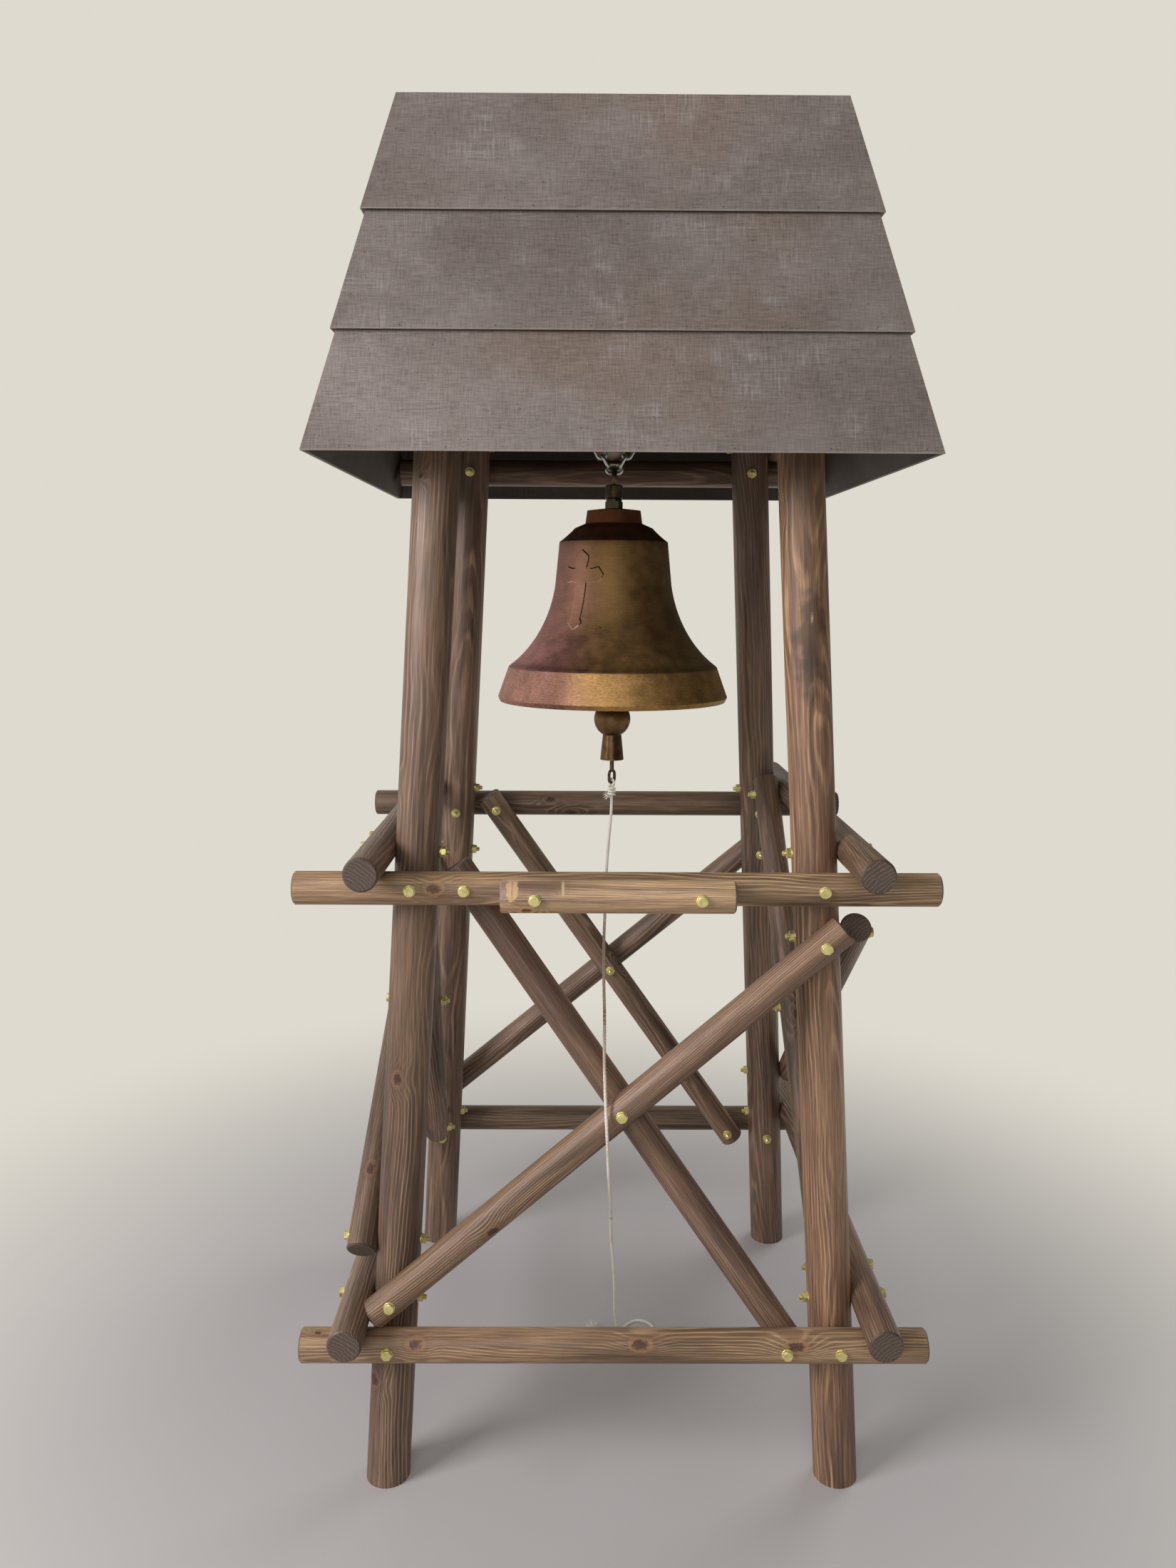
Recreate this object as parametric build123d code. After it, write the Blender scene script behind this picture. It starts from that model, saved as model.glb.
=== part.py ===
"""Free-standing log bell tower: four leaning legs, cross braces, lapped-board roof, hanging bell.

Millimetres, +Z up. The origin is the centre of the footprint on the floor.
The front, where the rope hangs, faces -Y. +X is to the right of someone facing it.
"""
from build123d import *
from math import asin, atan, atan2, cos, degrees, pi, radians, sin, sqrt, tan
import os

# Legs
leg_diameter = 80.0
foot_spacing = 836.0           # between leg axes at the floor, both ways
leg_lean = 0.0575              # each leg leans inward by this much of its height, both ways
leg_sawn_off = 60.0            # cut from the foot of each log so that it stands level

# Horizontal beams; the side beams lie on the front and rear ones
mid_beam_diameter = 58.0
mid_beam_height = 1125.0
mid_beam_length = 1110.0
low_beam_diameter = 60.0
low_beam_height = 297.0
low_beam_length = 1118.0
top_beam_diameter = 58.0
saddle_depth = 3.0             # how deep each log is let into the one that it lies on
joint_clearance = 0.3
log_edge = 3.0                 # eased edge at the sawn ends

# Braces
brace_diameter = 55.0
outer_brace_seat = 2.0         # how deep an outer brace is let into the legs
front_brace_overhang = 46.0    # outer braces run this far past their bolts on the legs
side_brace_overhang = 30.0
front_brace_rise = 86.0        # from the lower beam to the outer brace's bolt above it
front_brace_drop = 99.0        # from the mid beam to the outer brace's bolt below it
side_brace_rise = 112.0
side_brace_drop = 150.0
inner_brace_overhang = 34.0
inner_brace_top_gap = 50.0     # from the leg's inner side to the brace's top bolt
inner_brace_low_gap = 57.0

# Short log bolted to the front of the front mid beam
short_log_diameter = 56.0
short_log_length = 394.0

# Roof
eave_width = 1006.0
eave_height = 1845.0
roof_top_width = 742.0
roof_height = 569.0            # from the eaves to the top edge
top_beam_rise = 48.0           # from the eaves to the axis of the front and rear top beams
leg_rise = 165.0               # from the eaves to the tops of the legs
board_courses = 3
board_thickness = 7.0
board_lap = 22.0
lid_thickness = 18.0
lid_drop = 12.0                # from the top edge of the boards to the top of the lid
rafter_size = 34.0

# Hanger
hanger_log_diameter = 80.0
hanger_log_end_gap = 8.0       # from the log's end to the roof boards
chain_wire = 6.0
link_inner_width = 11.5
link_inner_length = 24.0       # nominal; the loop takes whole links that just close round the log
link_gap = 0.3                 # between the wires of two links
eye_bar = 10.0
eye_inner_diameter = 22.0
eye_sunk = 7.0                 # how far the ring's foot is set into the swivel
swivel_diameter = 34.0
swivel_height = 27.0
collar_diameter = 31.0
collar_height = 5.0
nut_across_flats = 30.0
nut_height = 14.0

# Bell, heights from the mouth plane
bell_drop = 547.0              # from the hanger log's axis down to the mouth
mouth_radius = 231.0
lip_height = 9.0
bow_height = 68.0
bow_radius = 206.5
bow_ring = 3.0
flare_height = 101.0
flare_radius = 174.0
waist_height = 177.0
waist_radius = 129.5
body_height = 230.0
body_radius = 116.0
shoulder_height = 314.0
shoulder_radius = 107.6
step_height = 341.0
step_radius = 77.0
crown_height = 350.0
crown_radius = 56.5
crown_top_height = 375.0
crown_top_radius = 53.0
boss_radius = 24.0
boss_height = 3.5
bell_wall = 9.0
bow_wall = 20.0

# Clapper
pivot_below_crown = 26.0       # from the bell's inner top to the hinge pin
pin_diameter = 12.0
pin_clearance = 0.3
clapper_eye_thickness = 12.0
clapper_eye_radius = 17.0
cheek_thickness = 8.0
cheek_gap = 22.0
cheek_width = 30.0
rod_radius = 9.0
rod_low_radius = 14.0
ball_radius = 37.0
ball_below_mouth = 38.0
neck_radius = 19.0
neck_below_mouth = 71.0
tail_radius = 24.0
tail_below_mouth = 121.0
hook_pin_diameter = 8.5
hook_pin_length = 20.0
hook_wire = 6.0
hook_inner_width = 9.0
hook_inner_length = 19.0
hook_turn = 42.0               # degrees that the oval link is turned from facing the front
knot_radius = 12.0
knot_height = 38.0

# Rope
rope_diameter = 6.0
rope_gap = 0.5                 # from the knot to the rope's fixed part
rope_floor_gap = 0.2
drape_gap = 18.3               # from the front braces to the rope's foremost corner
drape_rise = 9.7               # from the braces' crossing to the same corner
hanging_rope = [               # x, share of the drape's reach, share of the rise from the drape to the knot
    (0, 0.000, 0.937), (-5, 0.057, 0.853), (-11, 0.156, 0.728), (-14, 0.279, 0.608),
    (-18, 0.414, 0.495), (-19, 0.557, 0.383), (-18, 0.701, 0.279), (-20, 0.828, 0.191),
    (-19, 0.918, 0.096), (-17, 0.980, 0.000),
]
falling_rope = [               # x, share of the drape's reach, share of the drape's height
    (-15, 1.000, 0.945), (-12, 0.926, 0.852), (-8, 0.820, 0.753), (-4, 0.701, 0.658),
    (-2, 0.586, 0.553), (4, 0.467, 0.453), (8, 0.355, 0.345), (12, 0.238, 0.241),
    (13, 0.143, 0.140), (22, 0.070, 0.049),
]
floor_rope = [
    (30, 0), (42, 36), (70, 56), (100, 40), (110, 0), (84, -36), (40, -44), (0, -26),
    (-25, 9),
]

# Derived sizes
leg_radius = leg_diameter / 2
lean_angle = atan(leg_lean)
roof_top_height = eave_height + roof_height
top_beam_height = eave_height + top_beam_rise
leg_top_height = eave_height + leg_rise
side_mid_height = mid_beam_height + mid_beam_diameter - saddle_depth
side_low_height = low_beam_height + low_beam_diameter - saddle_depth
side_top_height = top_beam_height + top_beam_diameter - saddle_depth
front_brace_low = low_beam_height + front_brace_rise
front_brace_high = mid_beam_height - front_brace_drop
side_brace_low = side_low_height + side_brace_rise
side_brace_high = side_mid_height - side_brace_drop
hanger_log_height = top_beam_height + (top_beam_diameter + hanger_log_diameter) / 2 - saddle_depth
roof_slope = (eave_width - roof_top_width) / 2 / roof_height
board_level_thickness = board_thickness / cos(atan(roof_slope))
bell_mouth_height = hanger_log_height - bell_drop
crown_z = bell_mouth_height + crown_top_height + boss_height
inner_top_z = bell_mouth_height + step_height - bell_wall
pivot_z = inner_top_z - pivot_below_crown
ball_height = bell_mouth_height - ball_below_mouth
neck_height = bell_mouth_height - neck_below_mouth
tail_height = bell_mouth_height - tail_below_mouth

parts = {}


def axis_offset(height):
    """Distance from the tower's centre planes to a leg's axis at a height."""
    return foot_spacing / 2 - leg_lean * height


def seat_offset(diameter, depth):
    """Horizontal distance from a leg's axis to a log let into the leg's outside by a depth."""
    return (leg_radius + diameter / 2 - depth) / cos(lean_angle)


def course_heights(course):
    """Heights of the foot and head of a course of boards; each head runs on behind the next course."""
    span = (roof_top_height - eave_height) / board_courses
    foot = eave_height + course * span
    return foot, foot + span + (board_lap if course < board_courses - 1 else 0)


def foot_step(course):
    """How far a board's foot stands out so that it clears the head of the board below."""
    foot, head = course_heights(course)
    return (board_level_thickness + joint_clearance) * (head - foot) / (head - foot - board_lap)


def roof_half_width(height):
    """Half the width between the planes that the heads of all boards lie on."""
    at_eave = eave_width / 2 - board_level_thickness - foot_step(0)
    return at_eave - roof_slope * (height - eave_height)


def board_inner(course, height):
    """Distance from the centre plane to the inner face of a course of boards."""
    foot, head = course_heights(course)
    return roof_half_width(height) + foot_step(course) * (head - height) / (head - foot)


def log(start, end, diameter, edge=log_edge):
    """A round log between two points, with eased ends."""
    start, end = Vector(start), Vector(end)
    plane = Plane(origin=start, z_dir=end - start)
    body = Cylinder(diameter / 2, (end - start).length, align=(Align.CENTER, Align.CENTER, Align.MIN))
    if edge:
        body = chamfer(body.edges().filter_by(GeomType.CIRCLE), edge)
    return plane * body


def bare_log(start, end, diameter):
    """The round cutter for a saddle, larger than the log by the joint clearance."""
    return log(start, end, diameter + 2 * joint_clearance, edge=0)


def leg_ends(side_x, side_y, bottom, top):
    """The two ends of a leg's axis between two heights."""
    low, high = axis_offset(bottom), axis_offset(top)
    return (side_x * low, side_y * low, bottom), (side_x * high, side_y * high, top)


def turn(shape, angle):
    """Turn a shape about the tower's vertical axis."""
    return Rot(0, 0, angle) * shape


# Legs: sawn flat at the floor
corners = {"front_left": (-1, -1), "front_right": (1, -1), "rear_left": (-1, 1), "rear_right": (1, 1)}
floor_cutter = Box(2 * foot_spacing, 2 * foot_spacing, 2 * leg_sawn_off,
                   align=(Align.CENTER, Align.CENTER, Align.MAX))
leg_cutters = {}
for name, (side_x, side_y) in corners.items():
    leg = log(*leg_ends(side_x, side_y, -leg_sawn_off, leg_top_height), leg_diameter) - floor_cutter
    parts["leg_" + name] = leg
    leg_cutters[name] = bare_log(*leg_ends(side_x, side_y, -leg_diameter, leg_top_height + leg_diameter),
                                 leg_diameter)


def beam(height, length, diameter):
    """A front beam lying on the outside of the two front legs, let into them."""
    offset = axis_offset(height) + seat_offset(diameter, saddle_depth)
    ends = (-length / 2, -offset, height), (length / 2, -offset, height)
    shape = log(*ends, diameter)
    for name in ("front_left", "front_right"):
        shape -= leg_cutters[name]
    return shape, bare_log(*ends, diameter)


faces = {"front": (0, 1), "right": (90, -1), "rear": (180, -1), "left": (270, -1)}


def ring_of_beams(level, height, side_height, length, side_length, diameter):
    """Four beams round the legs: front and rear first, the side ones let down onto them."""
    cutters = []
    for name in ("front", "rear"):
        shape, cutter = beam(height, length, diameter)
        parts[f"{level}_beam_{name}"] = turn(shape, faces[name][0])
        cutters.append(turn(cutter, faces[name][0]))
    side_cutters = []
    for name in ("left", "right"):
        shape, side_cutter = beam(side_height, side_length, diameter)
        shape = turn(shape, faces[name][0])
        for cutter in cutters:
            shape -= cutter
        parts[f"{level}_beam_{name}"] = shape
        side_cutters.append(turn(side_cutter, faces[name][0]))
    return side_cutters


side_low_cutters = ring_of_beams("lower", low_beam_height, side_low_height,
                                 low_beam_length, low_beam_length, low_beam_diameter)
ring_of_beams("mid", mid_beam_height, side_mid_height, mid_beam_length, mid_beam_length, mid_beam_diameter)
end_rise = top_beam_diameter / 2 - log_edge    # the ends meet the leaning boards at the top of their flat
ring_of_beams("top", top_beam_height, side_top_height,
              2 * (board_inner(0, top_beam_height + end_rise) - joint_clearance),
              2 * (board_inner(0, side_top_height + end_rise) - joint_clearance),
              top_beam_diameter)


def outer_brace(low, high, hand, overhang):
    """A front brace over the outside of both legs, from low on one to high on the other."""
    off = seat_offset(brace_diameter, outer_brace_seat)
    start = Vector(-hand * axis_offset(low), -(axis_offset(low) + off), low)
    end = Vector(hand * axis_offset(high), -(axis_offset(high) + off), high)
    along = (end - start).normalized() * overhang
    shape = log(start - along, end + along, brace_diameter)
    for name in ("front_left", "front_right"):
        shape -= leg_cutters[name]
    return shape


def inner_brace(low, high, hand, low_diameter, high_diameter):
    """A front brace between the legs, bolted to the backs of the two beams and to the outer brace."""
    off = seat_offset(brace_diameter, outer_brace_seat) - (brace_diameter + joint_clearance) / cos(lean_angle)
    low_x = axis_offset(low) - leg_radius - inner_brace_low_gap
    high_x = axis_offset(high) - leg_radius - inner_brace_top_gap
    start = Vector(hand * low_x, -(axis_offset(low) + off), low)
    end = Vector(-hand * high_x, -(axis_offset(high) + off), high)
    along = (end - start).normalized() * inner_brace_overhang
    shape = log(start - along, end + along, brace_diameter)
    for height, diameter in ((low, low_diameter), (high, high_diameter)):
        beam_off = axis_offset(height) + seat_offset(diameter, saddle_depth)
        shape -= bare_log((-foot_spacing, -beam_off, height), (foot_spacing, -beam_off, height), diameter)
    return shape


for name, (angle, hand) in faces.items():
    on_side = name in ("left", "right")
    low = side_low_height if on_side else low_beam_height
    mid = side_mid_height if on_side else mid_beam_height
    brace_low = side_brace_low if on_side else front_brace_low
    brace_high = side_brace_high if on_side else front_brace_high
    overhang = side_brace_overhang if on_side else front_brace_overhang
    brace = turn(outer_brace(brace_low, brace_high, hand, overhang), angle)
    if not on_side:
        for cutter in side_low_cutters:
            brace -= cutter
    parts[f"outer_brace_{name}"] = brace
    parts[f"inner_brace_{name}"] = turn(inner_brace(low, mid, hand, low_beam_diameter, mid_beam_diameter), angle)

# Short log on the front of the front mid beam
front_mid_offset = axis_offset(mid_beam_height) + seat_offset(mid_beam_diameter, saddle_depth)
short_log_offset = front_mid_offset + (mid_beam_diameter + short_log_diameter) / 2 - saddle_depth
short_log = log((-short_log_length / 2, -short_log_offset, mid_beam_height),
                (short_log_length / 2, -short_log_offset, mid_beam_height), short_log_diameter)
parts["short_log"] = short_log - bare_log((-foot_spacing, -front_mid_offset, mid_beam_height),
                                          (foot_spacing, -front_mid_offset, mid_beam_height),
                                          mid_beam_diameter)

# Hanger log: front to back over the top beams
hanger_half = roof_half_width(hanger_log_height + hanger_log_diameter / 2) - hanger_log_end_gap
hanger_log = log((0, -hanger_half, hanger_log_height), (0, hanger_half, hanger_log_height), hanger_log_diameter)
top_offset = axis_offset(top_beam_height) + seat_offset(top_beam_diameter, saddle_depth)
for side in (-1, 1):
    hanger_log -= bare_log((-foot_spacing, side * top_offset, top_beam_height),
                           (foot_spacing, side * top_offset, top_beam_height), top_beam_diameter)
parts["hanger_log"] = hanger_log


def board(course):
    """One front board of a course, tilted so that its foot laps over the board below."""
    foot, head = course_heights(course)
    low, high = board_inner(course, foot), board_inner(course, head)
    profile = Polyline((-low, foot), (-(low + board_level_thickness), foot),
                       (-(high + board_level_thickness), head), (-high, head), close=True)
    face = make_face(Plane.YZ * profile)
    slab = extrude(face, eave_width, both=True)
    reach = eave_width
    mitre_margin = board_lap
    mitre = make_face(Polyline((0, -joint_clearance / 2), (-reach, -reach - joint_clearance / 2),
                               (reach, -reach - joint_clearance / 2), close=True))
    wedge = Pos(0, 0, foot - mitre_margin) * extrude(mitre, head - foot + 2 * mitre_margin)
    return slab & wedge


course_names = ("lower", "middle", "upper")
for course, course_name in enumerate(course_names):
    shape = board(course)
    for name, (angle, _) in faces.items():
        parts[f"roof_board_{course_name}_{name}"] = turn(shape, angle)

# Lid inside the top edge of the boards, on four hip rafters
lid_top = roof_top_height - lid_drop
lid_bottom = lid_top - lid_thickness
lid_half_top = roof_half_width(lid_top) - joint_clearance
lid_half_low = roof_half_width(lid_bottom) - joint_clearance
lid = loft([Pos(0, 0, lid_bottom) * Rectangle(2 * lid_half_low, 2 * lid_half_low).face(),
            Pos(0, 0, lid_top) * Rectangle(2 * lid_half_top, 2 * lid_half_top).face()])
parts["roof_lid"] = lid

rafter_low = side_top_height + top_beam_diameter / 2 + joint_clearance
rafter_high = lid_bottom - joint_clearance


def rafter_section(height):
    """Square section of the front right hip rafter, inside the corner of the boards."""
    outer = roof_half_width(height) - joint_clearance
    centre = outer - rafter_size / 2
    return Pos(centre, -centre, height) * Rectangle(rafter_size, rafter_size).face()


rafter = loft([rafter_section(rafter_low), rafter_section(rafter_high)])
parts["hip_rafters"] = Compound([turn(rafter, angle) for angle in (0, 90, 180, 270)])

# Bell
def bell_profile():
    """Half section of the bell, mouth at zero."""
    outer = [
        Line((mouth_radius - 4, 0), (mouth_radius, lip_height)),
        Line((mouth_radius, lip_height), (bow_radius + bow_ring, bow_height)),
        Line((bow_radius + bow_ring, bow_height), (bow_radius, bow_height + bow_ring)),
        Spline((bow_radius, bow_height + bow_ring), (flare_radius, flare_height), (waist_radius, waist_height),
               (body_radius, body_height)),
        Line((body_radius, body_height), (shoulder_radius, shoulder_height)),
        ThreePointArc((shoulder_radius, shoulder_height),
                      (step_radius + 10, step_height - 10),
                      (step_radius, step_height)),
        Line((step_radius, step_height), (crown_radius, crown_height)),
        Line((crown_radius, crown_height), (crown_top_radius, crown_top_height)),
        Line((crown_top_radius, crown_top_height), (boss_radius, crown_top_height + boss_height)),
        Line((boss_radius, crown_top_height + boss_height), (0, crown_top_height + boss_height)),
    ]
    top = step_height - bell_wall
    inner = [
        Line((0, crown_top_height + boss_height), (0, top)),
        Line((0, top), (step_radius - bell_wall, top)),
        Line((step_radius - bell_wall, top), (shoulder_radius - bell_wall, shoulder_height - bell_wall)),
        Line((shoulder_radius - bell_wall, shoulder_height - bell_wall), (body_radius - bell_wall, body_height)),
        Spline((body_radius - bell_wall, body_height), (waist_radius - bell_wall - 1, waist_height),
               (flare_radius - bell_wall - 5, flare_height), (bow_radius - bow_wall, bow_height)),
        Line((bow_radius - bow_wall, bow_height), (mouth_radius - 9, 0)),
        Line((mouth_radius - 9, 0), (mouth_radius - 4, 0)),
    ]
    return make_face(Plane.XZ * Wire(Wire(outer + inner).edges()))


bell = revolve(bell_profile(), Axis.Z)
parts["bell"] = Pos(0, 0, bell_mouth_height) * bell

# Hanger fittings on the bell's crown
nut = extrude(RegularPolygon(nut_across_flats / 2, 6, major_radius=False), nut_height)
collar = Pos(0, 0, nut_height) * Cylinder(collar_diameter / 2, collar_height, align=(Align.CENTER, Align.CENTER, Align.MIN))
swivel = Pos(0, 0, nut_height + collar_height) * Cylinder(swivel_diameter / 2, swivel_height,
                                                          align=(Align.CENTER, Align.CENTER, Align.MIN))
parts["bell_nut"] = Pos(0, 0, crown_z) * (nut + collar)
parts["swivel"] = Pos(0, 0, crown_z) * chamfer(swivel.edges().filter_by(GeomType.CIRCLE), 2)

eye_base = crown_z + nut_height + collar_height + swivel_height
eye_radius = (eye_inner_diameter + eye_bar) / 2
eye_centre = eye_base + eye_radius + eye_bar / 2 - eye_sunk
eye = Pos(0, 0, eye_centre) * (Rot(0, 90, 0) * Torus(eye_radius, eye_bar / 2))
foot_cutter = Box(3 * eye_radius, 3 * eye_radius, 2 * eye_radius, align=(Align.CENTER, Align.CENTER, Align.MAX))
parts["hanger_eye"] = eye - Pos(0, 0, eye_base) * foot_cutter

# Chain: a closed loop of welded links over the hanger log, its lowest link through the eye. Every other
# link lies in the loop's plane and the rest across it. A link across is carried at its two ends, and one
# in the plane at a point just inside each bow, so the wires keep one gap however the loop bends.
bow_radius_of_link = (link_inner_width + chain_wire) / 2
seat_in_bow = bow_radius_of_link - chain_wire - link_gap
lowest_link = eye_centre + eye_inner_diameter / 2 - link_gap - chain_wire / 2 + bow_radius_of_link


def link_spans(inner_length):
    """Distance between the carried points of a link in the loop's plane, and of one across it."""
    across = inner_length + chain_wire
    return across - 2 * bow_radius_of_link + 2 * seat_in_bow, across


def seat_radius(in_plane):
    """Radius round the hanger log on which the carried points lie, so that the links clear its bark."""
    clear = hanger_log_diameter / 2 + link_gap + bow_radius_of_link + chain_wire / 2
    return sqrt(clear ** 2 + (in_plane / 2) ** 2)


def next_point(point, span, radius, end):
    """The next carried point down the right side: round the log, then straight for the lowest link."""
    leave = atan2(radius, sqrt(end.length ** 2 - radius ** 2)) - atan2(end.X, -end.Y)
    angle = atan2(point.Y, point.X) - 2 * asin(span / 2 / radius)
    if abs(point.length - radius) < 1e-6 and angle > -leave:
        return Vector(radius * cos(angle), radius * sin(angle))
    return point + (end - point).normalized() * span


def right_side(inner_length, pairs):
    """Carried points from the top of the log to the lowest link, and how far past it they run."""
    in_plane, across = link_spans(inner_length)
    radius = seat_radius(in_plane)
    end = Vector(in_plane / 2, lowest_link - hanger_log_height)
    points = [Vector(in_plane / 2, sqrt(radius ** 2 - (in_plane / 2) ** 2))]
    for index in range(2 * pairs - 1):
        points.append(next_point(points[-1], in_plane if index % 2 else across, radius, end))
    short_of_end = (end - points[-2]).length
    return points[:-1] + [end], across - short_of_end


half_loop = pi / 2 * seat_radius(link_inner_length) + hanger_log_height - lowest_link
link_pairs = round(half_loop / (2 * link_inner_length))
shortest, longest = 0.7 * link_inner_length, 1.4 * link_inner_length
for _ in range(60):
    middle = (shortest + longest) / 2
    if right_side(middle, link_pairs)[1] < 0:
        shortest = middle
    else:
        longest = middle
link_length = (shortest + longest) / 2
right = right_side(link_length, link_pairs)[0]
loop = right + [Vector(-point.X, point.Y) for point in reversed(right)]
slot_wire = (Plane.XZ * SlotCenterToCenter(link_length + chain_wire - 2 * bow_radius_of_link,
                                           2 * bow_radius_of_link)).wire()
link = sweep(Plane(origin=slot_wire @ 0, z_dir=slot_wire % 0) * Circle(chain_wire / 2), path=slot_wire)
links = []
for index, (start, end) in enumerate(zip(loop, loop[1:] + loop[:1])):
    middle = (start + end) / 2
    along = end - start
    roll = 90 if index % 2 == 0 else 0
    links.append(Pos(middle.X, 0, hanger_log_height + middle.Y)
                 * (Rot(0, -degrees(atan2(along.Y, along.X)), 0) * (Rot(roll, 0, 0) * link)))
parts["hanger_chain"] = Compound(links)

# Clapper bracket: two cheeks under the crown, with the hinge pin along Y
cheek_drop = pivot_below_crown + cheek_width / 2
pin_half = cheek_gap / 2 + cheek_thickness
cheek = Pos(0, cheek_gap / 2 + cheek_thickness / 2, inner_top_z - joint_clearance) * Box(
    cheek_width, cheek_thickness, cheek_drop, align=(Align.CENTER, Align.CENTER, Align.MAX))
pin = Pos(0, 0, pivot_z) * (Rot(90, 0, 0) * Cylinder(pin_diameter / 2, 2 * pin_half))
parts["clapper_bracket"] = cheek + mirror(cheek, Plane.XZ) + pin

# Clapper
eye_plate = Pos(0, 0, pivot_z) * (Rot(90, 0, 0) * Cylinder(clapper_eye_radius, clapper_eye_thickness))
ball_top = ball_height + sqrt(ball_radius ** 2 - rod_low_radius ** 2)
ball_bottom = ball_height - sqrt(ball_radius ** 2 - neck_radius ** 2)
clapper_outline = [
    Line((0, pivot_z - clapper_eye_radius + 4), (rod_radius, pivot_z - clapper_eye_radius - 2)),
    Line((rod_radius, pivot_z - clapper_eye_radius - 2), (rod_low_radius, ball_top)),
    ThreePointArc((rod_low_radius, ball_top), (ball_radius, ball_height), (neck_radius, ball_bottom)),
    Line((neck_radius, ball_bottom), (neck_radius, neck_height)),
    Line((neck_radius, neck_height), (tail_radius, tail_height)),
    Line((tail_radius, tail_height), (0, tail_height)),
    Line((0, tail_height), (0, pivot_z - clapper_eye_radius + 4)),
]
clapper = revolve(make_face(Plane.XZ * Wire(clapper_outline)), Axis.Z)
clapper += eye_plate
clapper -= Pos(0, 0, pivot_z) * (Rot(90, 0, 0) * Cylinder(pin_diameter / 2 + pin_clearance,
                                                          2 * clapper_eye_thickness))
parts["clapper"] = clapper

def hook_link(wire):
    """The oval link under the clapper, made of wire of a diameter."""
    bow = (hook_inner_width + hook_wire) / 2
    slot = Plane.XZ * SlotCenterToCenter(hook_inner_length - hook_inner_width, 2 * bow, rotation=90)
    path = (Pos(0, 0, hook_centre) * (Rot(0, 0, hook_turn) * slot)).wire()
    return sweep(Plane(origin=path @ 0, z_dir=path % 0) * Circle(wire / 2), path=path)


hook_low = tail_height - hook_pin_length
hook_centre = hook_low - hook_wire - hook_inner_length / 2
hook_pin = Pos(0, 0, tail_height) * Cylinder(hook_pin_diameter / 2, hook_pin_length + hook_wire / 2,
                                             align=(Align.CENTER, Align.CENTER, Align.MAX))
parts["clapper_hook"] = hook_pin + hook_link(hook_wire)

knot_top = hook_centre - hook_inner_length / 2 + hook_wire / 2
knot_bottom = knot_top - knot_height
knot_outline = [
    Line((0, knot_top), (rope_diameter / 2 + 2, knot_top)),
    ThreePointArc((rope_diameter / 2 + 2, knot_top), (knot_radius, knot_top - 0.6 * knot_height),
                  (rope_diameter / 2 + 2, knot_bottom)),
    Line((rope_diameter / 2 + 2, knot_bottom), (0, knot_bottom)),
    Line((0, knot_bottom), (0, knot_top)),
]
knot = revolve(make_face(Plane.XZ * Wire(knot_outline)), Axis.Z)
parts["rope_knot"] = knot - hook_link(hook_wire + 2 * joint_clearance)

# Rope: straight runs joined by tangent arcs
low_offset, high_offset = axis_offset(front_brace_low), axis_offset(front_brace_high)
crossing = front_brace_low + (front_brace_high - front_brace_low) * low_offset / (low_offset + high_offset)
drape_height = crossing + drape_rise
drape_reach = axis_offset(crossing) + seat_offset(brace_diameter, outer_brace_seat) + brace_diameter / 2 + drape_gap
rope_top = knot_bottom - rope_gap
route = [Vector(0, 0, rope_top)]
route += [Vector(x, -reach * drape_reach, drape_height + rise * (rope_top - drape_height))
          for x, reach, rise in hanging_rope]
route += [Vector(x, -reach * drape_reach, height * drape_height) for x, reach, height in falling_rope]
route += [Vector(x, y, rope_diameter / 2 + rope_floor_gap) for x, y in floor_rope]
radii = []
for before, here, after in zip(route, route[1:], route[2:]):
    run_in, run_out = here - before, after - here
    turn_angle = radians(run_in.get_angle(run_out))
    radii.append(0.45 * min(run_in.length, run_out.length) / tan(turn_angle / 2))
rope_path = FilletPolyline(*route, radius=radii)
rope_section = Plane(origin=rope_path @ 0, z_dir=rope_path % 0) * Circle(rope_diameter / 2)
rope = sweep(rope_section, path=rope_path)
parts["bell_rope"] = rope
print("rope radii", [round(radius) for radius in radii])
print("rope length", round(rope_path.length, 1), "volume", round(rope.volume),
      "section times length", round(pi * rope_diameter ** 2 / 4 * rope_path.length))

os.makedirs("parts", exist_ok=True)
for name, shape in parts.items():
    export_step(shape, f"parts/{name}.step")
print(len(parts), "nodes; pivot height", round(pivot_z, 1), "knot bottom", round(knot_bottom, 1))
print("link inner length", round(link_length, 2), "links", len(links), "lowest link", round(lowest_link, 1))
print("route", [tuple(round(value, 1) for value in point) for point in route])
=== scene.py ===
"""Looks of a log bell tower: stained logs, lapped roof boards, patinated bell, bolts and rope.

Metres, +Z up. The front, where the rope hangs, faces -Y, and +X is to the right of someone
facing it.
"""
import random
from math import atan2, ceil, cos, pi, radians, sin, tan, tau

import bmesh
import bpy
import numpy as np
from mathutils import Matrix, Vector, geometry
from mathutils.bvhtree import BVHTree


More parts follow.
